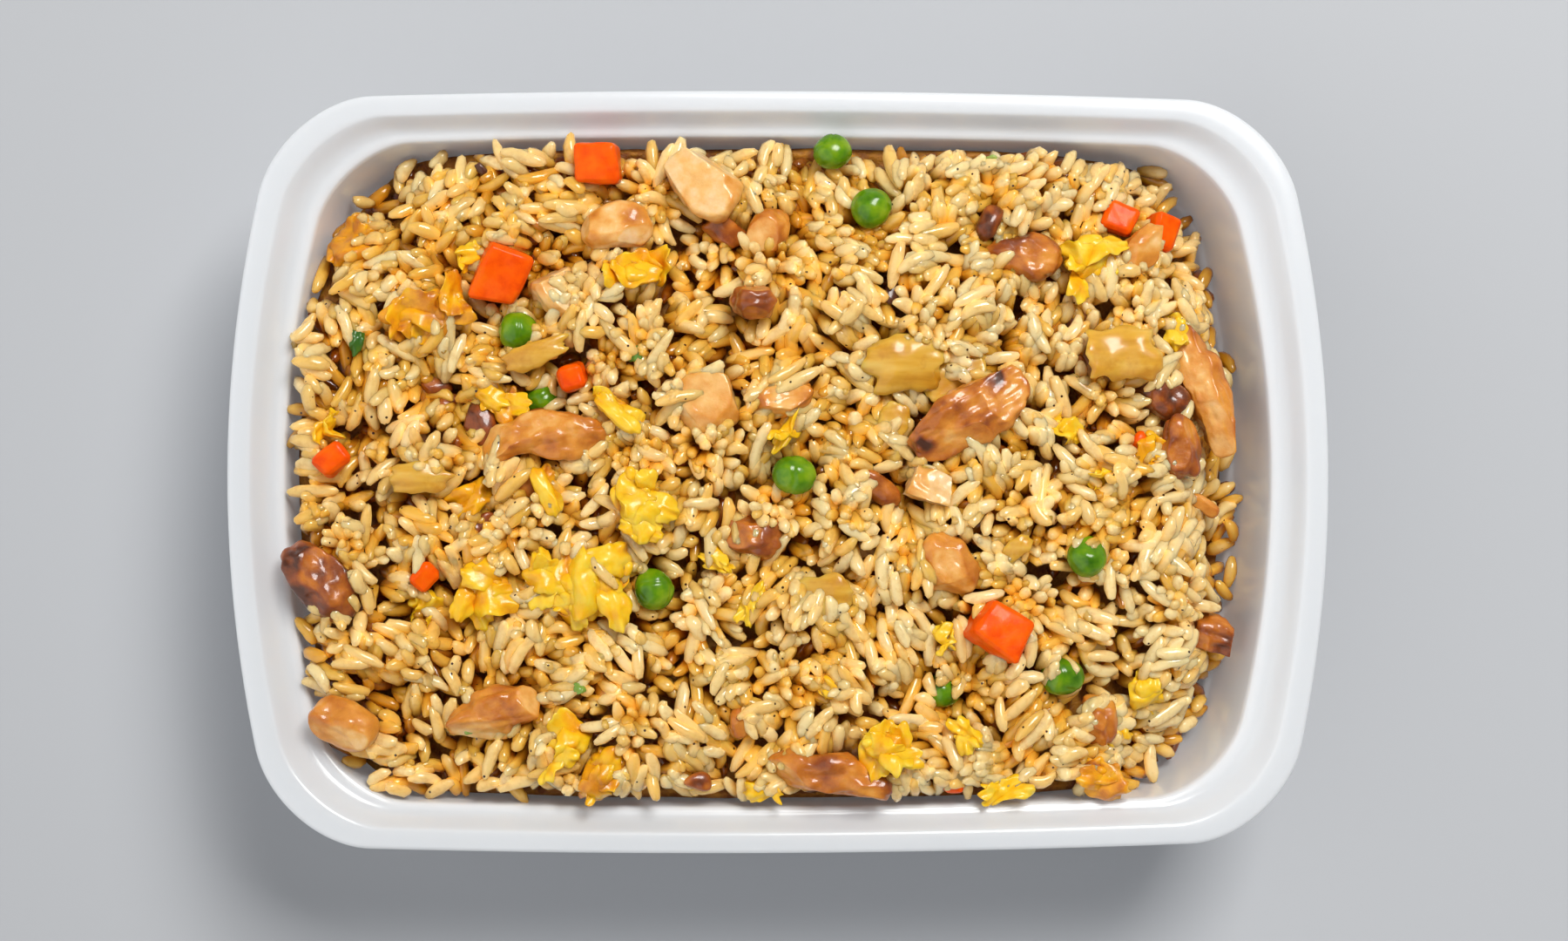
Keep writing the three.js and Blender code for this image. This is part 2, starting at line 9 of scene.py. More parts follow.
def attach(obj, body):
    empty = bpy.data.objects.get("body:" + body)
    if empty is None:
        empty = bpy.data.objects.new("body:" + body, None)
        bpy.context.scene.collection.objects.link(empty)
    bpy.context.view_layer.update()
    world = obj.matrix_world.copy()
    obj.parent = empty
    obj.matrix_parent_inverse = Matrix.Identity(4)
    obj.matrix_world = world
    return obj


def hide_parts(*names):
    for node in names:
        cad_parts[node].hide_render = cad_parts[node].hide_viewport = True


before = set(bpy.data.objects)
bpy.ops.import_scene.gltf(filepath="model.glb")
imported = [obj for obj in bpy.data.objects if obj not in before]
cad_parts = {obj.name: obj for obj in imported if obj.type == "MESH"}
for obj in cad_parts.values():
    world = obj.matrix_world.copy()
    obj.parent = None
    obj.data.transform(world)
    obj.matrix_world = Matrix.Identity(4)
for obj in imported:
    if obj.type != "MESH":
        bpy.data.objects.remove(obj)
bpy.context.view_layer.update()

# Camera. It looks down on the tray from half a metre above the rim, tipped two and a half
# degrees towards the far right, so the inside of the right-hand end shows.

RIM_LEVEL = 51.0
CAMERA_DISTANCE = 500.0
VIEW_DIRECTION = np.array([0.0348, 0.0295, -0.99896])
LOOKED_AT = np.array([0.36, -0.06, RIM_LEVEL])
UP_IN_PICTURE = Vector((0.0018, 1.0, 0.0))

camera_data = bpy.data.cameras.new("camera")
camera_data.sensor_width = 36.0
camera_data.lens = 57.1
camera = bpy.data.objects.new("camera", camera_data)
bpy.context.collection.objects.link(camera)
aim = Vector(VIEW_DIRECTION).normalized()
side = aim.cross(UP_IN_PICTURE).normalized()
turn_to_view = Matrix((side, side.cross(aim), -aim)).transposed().to_4x4()
camera_place = Vector((LOOKED_AT - CAMERA_DISTANCE * VIEW_DIRECTION) * 0.001)
camera.matrix_world = Matrix.Translation(camera_place) @ turn_to_view
bpy.context.scene.camera = camera
bpy.context.scene.view_settings.view_transform = "Standard"

# Studio. A large soft lamp hangs up and to the right, and weaker light comes from a very
# wide patch on the left. Neither is part of the object.


def linked(data, name):
    """An object for this data, put in the scene."""
    thing = bpy.data.objects.new(name, data)
    bpy.context.collection.objects.link(thing)
    return thing


def lamp_at(place, data, name, power, colour):
    """A lamp at this place, in metres, turned towards the middle of the tray."""
    data.energy = power
    data.color = colour
    lamp = linked(data, name)
    lamp.location = place
    towards = Vector((0.0, 0.0, 0.04)) - lamp.location
    lamp.rotation_euler = towards.to_track_quat("-Z", "Y").to_euler()


key_data = bpy.data.lights.new("key_lamp", "AREA")
key_data.size = 0.45
lamp_at((0.28, 0.53, 0.99), key_data, "key_lamp", 11.4, (1.0, 0.985, 0.96))

fill_data = bpy.data.lights.new("fill_light", "SUN")
fill_data.angle = math.radians(90)
lamp_at((-0.66, -0.30, 0.66), fill_data, "fill_light", 1.2, (1.0, 1.0, 1.0))

# Floor and walls. A broad matt sheet under the tray and a pale room round it, brighter low
# down than overhead. Neither is part of the object.


def add_surface(name, points, faces, material):
    """A smooth mesh from an array of points in millimetres and a list of face arrays, each
    with its own number of corners to a face."""
    corners = np.concatenate([f.ravel() for f in faces]).astype(np.int32)
    counts = np.concatenate([np.full(len(f), f.shape[1]) for f in faces])
    starts = (np.cumsum(counts) - counts).astype(np.int32)
    mesh = bpy.data.meshes.new(name)
    mesh.vertices.add(len(points))
    mesh.vertices.foreach_set("co", (points * 0.001).astype(np.float32).ravel())
    mesh.loops.add(len(corners))
    mesh.loops.foreach_set("vertex_index", corners)
    mesh.polygons.add(len(counts))
    mesh.polygons.foreach_set("loop_start", starts)
    mesh.polygons.foreach_set("use_smooth", np.ones(len(counts), dtype=bool))
    mesh.update(calc_edges=True)
    mesh.validate()
    mesh.materials.append(material)
    return linked(mesh, name)


def material_with(name, settings):
    """A material and its Principled shader, with these plain socket values."""
    material = bpy.data.materials.new(name)
    material.use_nodes = True
    shader = material.node_tree.nodes["Principled BSDF"]
    for socket, value in settings.items():
        shader.inputs[socket].default_value = value
    return material, shader


def node(material, kind, settings=None, inputs=None):
    """A shader node with its properties and plain socket values set."""
    made = material.node_tree.nodes.new(kind)
    for key, value in (settings or {}).items():
        setattr(made, key, value)
    for key, value in (inputs or {}).items():
        made.inputs[key].default_value = value
    return made


def join(material, source, target):
    """Feed one node's output into another one's input."""
    material.node_tree.links.new(source, target)


def noise_on(material, scale, detail=4.0, roughness=0.55, stretch=(1, 1, 1)):
    """Noise over the piece's own place in millimetres: scale is waves per metre."""
    where = node(material, "ShaderNodeTexCoord")
    mapping = node(material, "ShaderNodeMapping", inputs={"Scale": stretch})
    noise = node(
        material,
        "ShaderNodeTexNoise",
        inputs={"Scale": scale, "Detail": detail, "Roughness": roughness},
    )
    join(material, where.outputs["Object"], mapping.inputs["Vector"])
    join(material, mapping.outputs["Vector"], noise.inputs["Vector"])
    return noise


def ramp_of(material, source, stops):
    """A colour ramp through (place, colour) stops, fed by a value."""
    ramp = node(material, "ShaderNodeValToRGB")
    elements = ramp.color_ramp.elements
    while len(elements) < len(stops):
        elements.new(1.0)
    for element, (place, colour) in zip(elements, stops):
        element.position = place
        element.color = (*colour, 1.0)
    join(material, source, ramp.inputs["Fac"])
    return ramp


def mix_colours(material, factor, a, b, blend="MIX"):
    """Mix two colours, each a socket or a plain colour, by a factor that is one of these too."""
    mix = node(material, "ShaderNodeMix", {"data_type": "RGBA", "blend_type": blend})
    for value, socket in ((factor, mix.inputs[0]), (a, mix.inputs[6]), (b, mix.inputs[7])):
        if isinstance(value, bpy.types.NodeSocket):
            join(material, value, socket)
        else:
            socket.default_value = value if isinstance(value, float) else (*value, 1.0)
    return mix.outputs[2]


def worked_out(material, operation, *values):
    """A number worked out from values that are each a socket or a plain number."""
    made = node(material, "ShaderNodeMath", {"operation": operation})
    for value, socket in zip(values, made.inputs):
        if isinstance(value, bpy.types.NodeSocket):
            join(material, value, socket)
        else:
            socket.default_value = value
    return made.outputs[0]


def add_bump(material, shader, source, distance, strength=1.0):
    """Fine relief in the finish, this many millimetres deep, that follows a value."""
    bump = node(
        material, "ShaderNodeBump", inputs={"Distance": distance * 0.001, "Strength": strength}
    )
    join(material, source, bump.inputs["Height"])
    join(material, bump.outputs["Normal"], shader.inputs["Normal"])


floor_finish = material_with(
    "pale_floor", {"Base Color": (0.50, 0.515, 0.54, 1.0), "Roughness": 0.9}
)[0]
floor = add_surface(
    "floor",
    np.array([[-2500, -2500, 0], [2500, -2500, 0], [2500, 2500, 0], [-2500, 2500, 0]], float),
    [np.array([[0, 1, 2, 3]])],
    floor_finish,
)

studio = bpy.data.worlds.new("studio")
studio.use_nodes = True
studio_way = node(studio, "ShaderNodeTexCoord")
studio_rise = node(studio, "ShaderNodeSeparateXYZ")
join(studio, studio_way.outputs["Generated"], studio_rise.inputs[0])
studio_tint = ramp_of(
    studio,
    studio_rise.outputs["Z"],
    [(0.0, (0.50, 0.51, 0.53)), (0.35, (0.24, 0.244, 0.25)), (1.0, (0.09, 0.092, 0.095))],
)
join(studio, studio_tint.outputs["Color"], studio.node_tree.nodes["Background"].inputs["Color"])
bpy.context.scene.world = studio

# Tray. One thin shell of glossy white polypropylene, moulded in one go: a flat flange with a
# hanging lip, a slope down to the ledge that the lid seats on, a tapered wall with a narrow
# stacking step half way down, and a flat floor.

HALF_LENGTH = 111.0
HALF_WIDTH = 76.8
CORNER_RADIUS = 20.0
CORNER_TIGHTENING = 0.4
END_BOW = 10.6
SIDE_BOW = 2.0

INSIDE_PROFILE = np.array([
    [23.2, 19.2, 0.8],
    [20.2, 16.4, 2.0],
    [18.6, 14.9, 5.4],
    [15.8, 12.6, 25.8],
    [14.3, 11.1, 27.0],
    [11.1, 9.0, 45.8],
    [10.4, 8.4, 46.5],
    [7.9, 6.7, 46.8],
    [5.0, 4.6, 50.3],
    [4.2, 3.9, 51.0],
    [0.9, 0.9, 51.0],
    [0.2, 0.2, 50.65],
    [0.0, 0.0, 49.9],
])
OUTSIDE_PROFILE = np.array([
    [22.8, 18.8, 0.0],
    [19.4, 15.6, 1.3],
    [17.8, 14.1, 5.2],
    [15.0, 11.8, 25.4],
    [13.4, 10.2, 26.5],
    [9.9, 7.9, 45.7],
    [7.2, 6.0, 46.1],
    [4.3, 3.9, 49.8],
    [3.6, 3.3, 50.0],
    [0.9, 0.9, 50.0],
    [0.8, 0.8, 47.4],
    [0.0, 0.0, 47.4],
])


def tray_outline(end_inset, side_inset, corner_steps=24, long_steps=40, short_steps=28):
    """Rings of the tray at arrays of insets from the rim: the corners of a rounded rectangle
    are quarter circles whose radius shrinks with the inset, and x and y are then scaled by
    1 - bow * (share of the way to the corner) squared, which bows each side outwards."""
    end_inset = np.atleast_1d(end_inset)[:, None]
    side_inset = np.atleast_1d(side_inset)[:, None]
    a = HALF_LENGTH - end_inset
    b = HALF_WIDTH - side_inset
    radius = CORNER_RADIUS - CORNER_TIGHTENING * side_inset
    xs = []
    ys = []
    for turn, (sx, sy) in enumerate(((1, 1), (-1, 1), (-1, -1), (1, -1))):
        angle = (turn + np.linspace(0, 1, corner_steps + 1)) * np.pi / 2
        arc_x = sx * (a - radius) + radius * np.cos(angle)
        arc_y = sy * (b - radius) + radius * np.sin(angle)
        share = np.linspace(0, 1, (long_steps, short_steps)[turn % 2] + 1)[1:-1]
        step_x, step_y = ((-2 * (a - radius), 0), (0, -2 * (b - radius)))[turn % 2]
        way = 1 if turn < 2 else -1
        xs += [arc_x, arc_x[:, -1:] + share * way * step_x]
        ys += [arc_y, arc_y[:, -1:] + share * way * step_y]
    x = np.concatenate(xs, axis=1)
    y = np.concatenate(ys, axis=1)
    return x * (1 - END_BOW / a * (y / b) ** 2), y * (1 - SIDE_BOW / b * (x / a) ** 2)


def rounded_profile(profile, times):
    """Cut every corner of a profile at a quarter of its two edges, a few times over."""
    for _ in range(times):
        a, b = profile[:-1], profile[1:]
        cut = np.stack([0.75 * a + 0.25 * b, 0.25 * a + 0.75 * b], axis=1).reshape(-1, 3)
        profile = np.concatenate([profile[:1], cut, profile[-1:]])
    return profile


def ring_faces(rings, count):
    """Four-cornered faces between neighbouring rings of count points each."""
    i, j = np.meshgrid(np.arange(rings - 1), np.arange(count), indexing="ij")
    k = (j + 1) % count
    return np.stack([i * count + j, i * count + k, (i + 1) * count + k, (i + 1) * count + j], -1)


def closed_by_poles(rings, count):
    """Faces of a closed surface through rings, with a pole point before and one after them."""
    j = np.arange(count)
    k = (j + 1) % count
    body = ring_faces(rings, count).reshape(-1, 4) + 1
    last = rings * count + 1
    first_cap = np.stack([np.zeros_like(j), k + 1, j + 1], -1)
    last_cap = np.stack([np.full_like(j, last), last - count + j, last - count + k], -1)
    return [body, first_cap, last_cap]


def carried_round(profile):
    """A closed surface: the profile is carried round the tray's outline, from a pole at the
    middle of its first ring to a pole at the middle of its last."""
    x, y = tray_outline(profile[:, 0], profile[:, 1])
    z = np.repeat(profile[:, 2:], x.shape[1], axis=1)
    points = np.stack([x, y, z], -1).reshape(-1, 3)
    first = [[0, 0, profile[0, 2]]]
    last = [[0, 0, profile[-1, 2]]]
    return np.concatenate([first, points, last]), closed_by_poles(*x.shape)


plastic, plastic_shader = material_with(
    "white_polypropylene",
    {
        "Roughness": 0.2,
        "Subsurface Weight": 0.6,
        "Subsurface Radius": (1.1, 1.0, 0.95),
        "Subsurface Scale": 0.006,
        "IOR": 1.49,
    },
)
plastic_cloud = noise_on(plastic, 14.0, 2.0)
plastic_tint = ramp_of(
    plastic,
    plastic_cloud.outputs["Fac"],
    [(0.3, (0.75, 0.772, 0.805)), (0.7, (0.78, 0.80, 0.83))],
)
join(plastic, plastic_tint.outputs["Color"], plastic_shader.inputs["Base Color"])
add_bump(plastic, plastic_shader, plastic_cloud.outputs["Fac"], 0.25, 0.3)

tray_profile = np.concatenate([OUTSIDE_PROFILE, INSIDE_PROFILE[::-1]])
tray_points, tray_faces = carried_round(rounded_profile(tray_profile, 2))
tray = add_surface("white_tray", tray_points, tray_faces, plastic)
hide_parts("tray")
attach(tray, "root")

# Toppings. The cooked pieces that lie in the rice, each made from its rough solid: the solid
# is split finely, rounded, and then given the relief of its own kind.


def cloud(points, size, seed):
    """A soft random field from -1 to 1: a random value at each point of a lattice with this
    spacing, blended smoothly between the eight corners round each place."""
    place = points / size
    cell = np.floor(place).astype(np.int64)
    share = place - cell
    share = share * share * (3 - 2 * share)
    total = np.zeros(len(points))
    for corner in np.ndindex(2, 2, 2):
        at = cell + corner
        mixed = at[:, 0] * 73856093 ^ at[:, 1] * 19349663 ^ at[:, 2] * 83492791 ^ seed * 26544357
        mixed = (mixed ^ (mixed >> 13)) * 1274126177 & 0x7FFFFFFF
        value = ((mixed ^ (mixed >> 15)) & 0xFFFF) / 32767.5 - 1
        weight = np.prod(np.where(corner, share, 1 - share), axis=1)
        total += weight * value
    return total


def refined(node_name, even_splits, smooth_splits):
    """Points and outward directions, in millimetres, and faces of a CAD solid whose faces are
    split evenly and then smoothly this many times."""
    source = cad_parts[node_name]
    mesh = source.data
    corners = np.empty(len(mesh.vertices) * 3, np.float32)
    mesh.vertices.foreach_get("co", corners)
    places, where = np.unique(
        np.round(corners.reshape(-1, 3) * 1e6).astype(np.int64), axis=0, return_inverse=True
    )
    triangles = np.empty(len(mesh.loops), np.int32)
    mesh.loops.foreach_get("vertex_index", triangles)
    rough = bpy.data.meshes.new("rough")
    rough.from_pydata((places * 1e-3).tolist(), [], where.ravel()[triangles].reshape(-1, 3).tolist())
    carrier = linked(rough, "rough")
    for kind, levels in (("SIMPLE", even_splits), ("CATMULL_CLARK", smooth_splits)):
        if levels:
            split = carrier.modifiers.new(kind.lower(), "SUBSURF")
            split.subdivision_type = kind
            split.levels = levels
            split.render_levels = levels
    fine = carrier.evaluated_get(bpy.context.evaluated_depsgraph_get()).to_mesh()
    points = np.empty(len(fine.vertices) * 3, np.float32)
    fine.vertices.foreach_get("co", points)
    outward = np.empty(len(fine.vertices) * 3, np.float32)
    fine.vertex_normals.foreach_get("vector", outward)
    quads = np.empty(len(fine.loops), np.int32)
    fine.loops.foreach_get("vertex_index", quads)
    bpy.data.objects.remove(carrier)
    return (
        points.reshape(-1, 3).astype(float),
        outward.reshape(-1, 3).astype(float),
        [quads.reshape(-1, 4)],
    )


def paint(piece, name, values):
    """A value from 0 to 1 at each point of a piece, for its material to read."""
    layer = piece.data.attributes.new(name, "FLOAT", "POINT")
    layer.data.foreach_set("value", values.astype(np.float32))


def reading(material, name):
    """The value that was painted on a piece under this name."""
    return node(material, "ShaderNodeAttribute", {"attribute_name": name}).outputs["Fac"]


def in_place(piece, node_name):
    """Put a topping in the place of its rough solid."""
    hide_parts(node_name)
    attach(piece, "root")
    topping_shapes.append(piece)


def nodes_named(kind):
    """The names of the rough solids of one kind, in the order of their numbers."""
    names = [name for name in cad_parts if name.startswith(kind + "_")]
    return sorted(names, key=lambda name: int(name.split("_")[1]))


topping_shapes = []

# Carrots. Eight cut dice, fried until their edges go soft and glossy with oil. They lie
# loose in the top of the rice.

carrot_finish, carrot_shader = material_with(
    "cooked_carrot",
    {
        "Roughness": 0.3,
        "Subsurface Weight": 0.3,
        "Subsurface Radius": (1.0, 0.35, 0.1),
        "Subsurface Scale": 0.0015,
        "Coat Weight": 0.1,
        "Coat Roughness": 0.12,
        "Specular IOR Level": 0.1,
    },
)
carrot_tint = ramp_of(
    carrot_finish,
    noise_on(carrot_finish, 260.0, 4.0, 0.6).outputs["Fac"],
    [(0.25, (0.76, 0.05, 0.001)), (0.5, (0.93, 0.105, 0.001)), (0.8, (0.96, 0.17, 0.002))],
)
join(carrot_finish, carrot_tint.outputs["Color"], carrot_shader.inputs["Base Color"])
add_bump(
    carrot_finish,
    carrot_shader,
    noise_on(carrot_finish, 900.0, 3.0).outputs["Fac"],
    0.12,
    0.6,
)

for index, name in enumerate(nodes_named("carrot")):
    points, outward, faces = refined(name, 2, 1)
    relief = 0.3 * cloud(points, 4.0, index) + 0.12 * cloud(points, 1.6, index + 9)
    points = points + outward * (relief - 0.04)[:, None]
    in_place(add_surface(f"{name}_dice", points, faces, carrot_finish), name)

# Peas. Nine whole cooked peas, loose in the top of the rice: a tight glossy skin that has
# drawn in here and there.

pea_finish, pea_shader = material_with(
    "cooked_pea",
    {
        "Roughness": 0.22,
        "Subsurface Weight": 0.3,
        "Subsurface Radius": (0.4, 1.0, 0.15),
        "Subsurface Scale": 0.0012,
        "Coat Weight": 0.2,
        "Coat Roughness": 0.1,
        "Specular IOR Level": 0.35,
    },
)
pea_tint = ramp_of(
    pea_finish,
    noise_on(pea_finish, 220.0, 3.0).outputs["Fac"],
    [(0.3, (0.035, 0.13, 0.001)), (0.5, (0.11, 0.26, 0.002)), (0.75, (0.26, 0.40, 0.006))],
)
join(pea_finish, pea_tint.outputs["Color"], pea_shader.inputs["Base Color"])

pea_skins = []
for index, name in enumerate(nodes_named("pea")):
    points, outward, faces = refined(name, 0, 3)
    crease = np.maximum(0, 1 - 5 * np.abs(cloud(points, 4.2, index + 20)))
    relief = 0.32 * cloud(points, 3.4, index) - 0.16 * crease
    points = points + outward * (relief + 0.2)[:, None]
    pea_skins.append(add_surface(f"{name}_skin", points, faces, pea_finish))
    in_place(pea_skins[-1], name)

# Chicken. Bite-sized pieces, pale where they were cut and browned where they met the pan.
# They lie loose in the top of the rice. Each has a tone from 0, poached pale, to 1, dark, and
# may have charred spots.

CHICKEN_TONES = {
    1: 0.06, 2: 0.14, 3: 0.12, 4: 0.34, 5: 0.48, 6: 0.16, 7: 0.26, 8: 0.30, 9: 0.38, 10: 0.06,
    11: 0.30, 12: 0.56, 13: 0.60, 14: 0.24, 15: 0.26, 16: 0.38, 17: 0.32, 18: 0.52, 19: 0.48,
    20: 0.28, 21: 0.52, 22: 0.42,
}
SMOOTH_CHICKEN = (1, 2, 3, 4, 6, 11, 14, 20)
DICED_CHICKEN = (1, 3, 6, 10, 12, 21)
CHARRED_SPOTS = {
    9: [(42.5, 17.5, 3.6, 0.9), (28.0, 4.6, 3.0, 0.85), (31.5, 13.0, 2.2, 0.5)],
    13: [(-92.0, -20.0, 4.5, 0.8), (-86.0, -27.0, 3.0, 0.75)],
    17: [(83.0, 25.0, 3.0, 0.35)],
    19: [(52.0, 42.0, 3.0, 0.3)],
}

chicken_finish, chicken_shader = material_with(
    "cooked_chicken",
    {
        "Roughness": 0.4,
        "Subsurface Weight": 0.4,
        "Subsurface Radius": (1.0, 0.55, 0.3),
        "Subsurface Scale": 0.0022,
        "Coat Weight": 0.65,
        "Coat Roughness": 0.13,
        "Specular IOR Level": 0.3,
    },
)
chicken_mottle = noise_on(chicken_finish, 330.0, 5.0, 0.62)
chicken_browned = reading(chicken_finish, "browning")
chicken_tint = ramp_of(
    chicken_finish,
    worked_out(
        chicken_finish, "MULTIPLY_ADD", chicken_mottle.outputs["Fac"], 0.42, chicken_browned
    ),
    [
        (0.12, (0.92, 0.66, 0.37)),
        (0.28, (0.86, 0.49, 0.15)),
        (0.46, (0.74, 0.30, 0.038)),
        (0.66, (0.53, 0.16, 0.012)),
        (0.84, (0.28, 0.06, 0.006)),
        (1.00, (0.08, 0.018, 0.004)),
    ],
)
join(chicken_finish, chicken_tint.outputs["Color"], chicken_shader.inputs["Base Color"])
add_bump(
    chicken_finish,
    chicken_shader,
    noise_on(chicken_finish, 1100.0, 4.0, 0.6).outputs["Fac"],
    0.2,
    0.7,
)


def spots_at(points, spots):
    """Scorched marks with uneven edges: the greatest of strength * exp(-(distance / radius)
    squared), times a soft random field."""
    total = np.zeros(len(points))
    for x, y, radius, strength in spots:
        far = ((points[:, 0] - x) ** 2 + (points[:, 1] - y) ** 2) / radius**2
        total = np.maximum(total, strength * np.exp(-far))
    return total * (0.9 + 0.3 * cloud(points, 1.6, 71))


def own_frame(points):
    """The middle of some points, and a matrix whose rows are the directions in which they
    reach furthest, next furthest and least."""
    middle = points.mean(axis=0)
    return middle, np.linalg.svd(points - middle, full_matrices=False)[2]


def with_cut_faces(points, cuts, keep, seed, diced=False):
    """Press what stands beyond a few flat cuts back onto them, and say how much each point is
    on a cut, from 0 to 1. The piece is first stretched to the same reach every way. The first
    cut lies across its thinnest way, above, and each other one has a random direction, or
    that of a side of a box where the piece was diced."""
    aims = np.random.default_rng(seed)
    middle, ways = own_frame(points)
    sides = [[0, 0, math.copysign(1, ways[2, 2])], [1, 0, 0], [-1, 0, 0], [0, 1, 0], [0, -1, 0]]
    own = (points - middle) @ ways.T
    reaches = np.abs(own).max(axis=0)
    own = own / reaches
    cut = np.zeros(len(points))
    for number in range(cuts):
        away = aims.normal(size=3)
        if number < (5 if diced else 1):
            away = sides[number] + 0.16 * away
        away /= np.linalg.norm(away)
        reach = own @ away
        over = np.maximum(0, reach - aims.uniform(keep, 0.95) * reach.max())
        own = own - away * (0.96 * over)[:, None]
        cut = np.maximum(cut, np.minimum(1, 12 * over))
    return middle + (own * reaches) @ ways, cut


for index, name in enumerate(nodes_named("chicken")):
    points, outward, faces = refined(name, 0, 3)
    swell = 1.3 * cloud(points, 6.5, index) + 0.7 * cloud(points, 3.2, index + 20)
    points = points + outward * (swell + 0.5)[:, None]
    diced = index + 1 in DICED_CHICKEN
    points, cut = with_cut_faces(points, 6, 0.5 if diced else 0.64, index + 100, diced)
    middle, ways = own_frame(points)
    own = (points - middle) @ ways.T
    fibres = cloud(own * [0.2, 1.0, 1.0], 0.8, index + 40)
    torn = np.abs(cloud(own * [0.45, 1.0, 1.0], 2.4, index + 50))
    relief = 0.3 * cloud(points, 2.6, index + 60) + 0.18 * cloud(points, 1.3, index + 70)
    relief += 0.14 * fibres + (0.8 * torn - 0.25) * (1 - 0.7 * cut)
    relief *= 0.5 if index + 1 in SMOOTH_CHICKEN else 1.0
    points = points + outward * relief[:, None]
    piece = add_surface(f"{name}_meat", points, faces, chicken_finish)
    tone = CHICKEN_TONES[index + 1]
    patches = 0.17 * cloud(points, 4.2, index + 80) + 0.08 * cloud(points, 1.5, index + 90)
    browning = tone + 0.07 + patches - 0.16 * cut + 0.03 * fibres
    browning = np.maximum(browning, spots_at(points, CHARRED_SPOTS.get(index + 1, ())) + patches)
    paint(piece, "browning", np.clip(browning, 0.0, 1.0))
    in_place(piece, name)

# Egg. Thirteen curds, scrambled in the pan and torn into soft folded sheets that stick
# together. Some are browned by the pan, and two are smooth rolls.

ROLLED_EGG = (2, 5)
EGG_BROWNING = {1: 0.42, 2: 0.06, 3: 0.2, 4: 0.3, 6: 0.12, 8: 0.2, 10: 0.08, 11: 0.36, 13: 0.44}

egg_finish, egg_shader = material_with(
    "scrambled_egg",
    {
        "Roughness": 0.36,
        "Subsurface Weight": 0.25,
        "Subsurface Radius": (1.0, 0.6, 0.12),
        "Subsurface Scale": 0.0018,
        "Coat Weight": 0.35,
        "Coat Roughness": 0.14,
        "Specular IOR Level": 0.35,
    },
)
egg_mottle = noise_on(egg_finish, 420.0, 4.0, 0.6)
egg_browning_and_shade = reading(egg_finish, "browning")
# The ramp's darker end serves both browning by the pan and painted shade.
egg_tint = ramp_of(
    egg_finish,
    worked_out(egg_finish, "MULTIPLY_ADD", egg_mottle.outputs["Fac"], 0.5, egg_browning_and_shade),
    [
        (0.12, (0.97, 0.69, 0.075)),
        (0.30, (0.97, 0.55, 0.008)),
        (0.55, (0.90, 0.38, 0.004)),
        (0.75, (0.62, 0.20, 0.006)),
        (0.95, (0.28, 0.06, 0.006)),
    ],
)
join(egg_finish, egg_tint.outputs["Color"], egg_shader.inputs["Base Color"])
add_bump(egg_finish, egg_shader, noise_on(egg_finish, 700.0, 3.0).outputs["Fac"], 0.2, 0.6)

FLAKE_ALONG = 23
FLAKE_ACROSS = 15


def turned(yaw, pitch, roll):
    """Rotation matrix: roll about x, then pitch about y, then yaw about z."""
    cy, sy = math.cos(yaw), math.sin(yaw)
    cp, sp = math.cos(pitch), math.sin(pitch)
    cr, sr = math.cos(roll), math.sin(roll)
    return np.array([
        [cy * cp, cy * sp * sr - sy * cr, cy * sp * cr + sy * sr],
        [sy * cp, sy * sp * sr + cy * cr, sy * sp * cr - cy * sr],
        [-sp, cp * sr, cp * cr],
    ])


def sheet_faces(along, across):
    """Faces of a closed sheet: a grid above, the same grid below, and a band round the rim."""
    grid = np.arange(along * across).reshape(across, along)
    up = np.stack([grid[:-1, :-1], grid[:-1, 1:], grid[1:, 1:], grid[1:, :-1]], -1).reshape(-1, 4)
    rim = np.concatenate([grid[0], grid[1:, -1], grid[-1, -2::-1], grid[-2:0:-1, 0]])
    ahead = np.roll(rim, -1)
    under = along * across
    band = np.stack([rim + under, ahead + under, ahead, rim], -1)
    return [up, up[:, ::-1] + under, band]


def torn_sheet(middle, length, width, fold, half_thickness, ragged_by, yaw, draws, round_by=0.42):
    """Points of one torn sheet of food. Over u and v from -1 to 1 it is a plate with ragged
    ends, x = length / 2 * u and y = width / 2 * v, both times a soft random field. Its height
    is a few folds, the sine of a mix of u and v. Its rim is crimped and thins to an edge."""
    u, v = np.meshgrid(np.linspace(-1, 1, FLAKE_ALONG), np.linspace(-1, 1, FLAKE_ACROSS))
    round_u = u * np.sqrt(1 - round_by * v * v)
    round_v = v * np.sqrt(1 - round_by * u * u)
    ragged = np.stack([round_u.ravel() * 2.2, round_v.ravel() * 2.2, 0 * u.ravel()], -1)
    seed = int(draws.integers(1, 9999))
    swell = 1 + ragged_by * (cloud(ragged, 1.1, seed) + 0.4 * cloud(ragged, 0.45, seed + 1))
    x = 0.5 * length * round_u.ravel() * swell
    y = 0.5 * width * round_v.ravel() * swell
    wave = draws.uniform(1.6, 3.4) * round_u + draws.uniform(-1.6, 1.6) * round_v
    folds = np.sin(wave + draws.uniform(0, 6.3)).ravel()
    z = fold * width * (folds - 0.5 * (round_u**2 + round_v**2).ravel())
    z += 1.6 * fold * cloud(ragged, 0.9, seed + 2) + 0.07 * cloud(ragged, 0.3, seed + 3)
    rim = np.maximum(np.abs(u), np.abs(v)).ravel()
    crimps = int(draws.integers(5, 9)) * np.arctan2(v, u).ravel() + draws.uniform(0, 6.3)
    z += 0.4 * fold * width * rim**3 * np.sin(crimps)
    half = half_thickness * np.sqrt(np.maximum(0.06, 1 - rim**4))
    turn = turned(yaw, draws.normal(0, 1.6 * fold), draws.normal(0, 1.6 * fold))
    top = np.stack([x, y, z + half], -1)
    bottom = np.stack([x, y, z - half], -1)
    return np.concatenate([top, bottom]) @ turn.T + middle


def joined(shapes, faces):
    """The points of many shapes with the same faces, one after another, and all their faces."""
    count = len(shapes[0])
    every = [f + count * number for number in range(len(shapes)) for f in faces]
    return np.concatenate(shapes), every


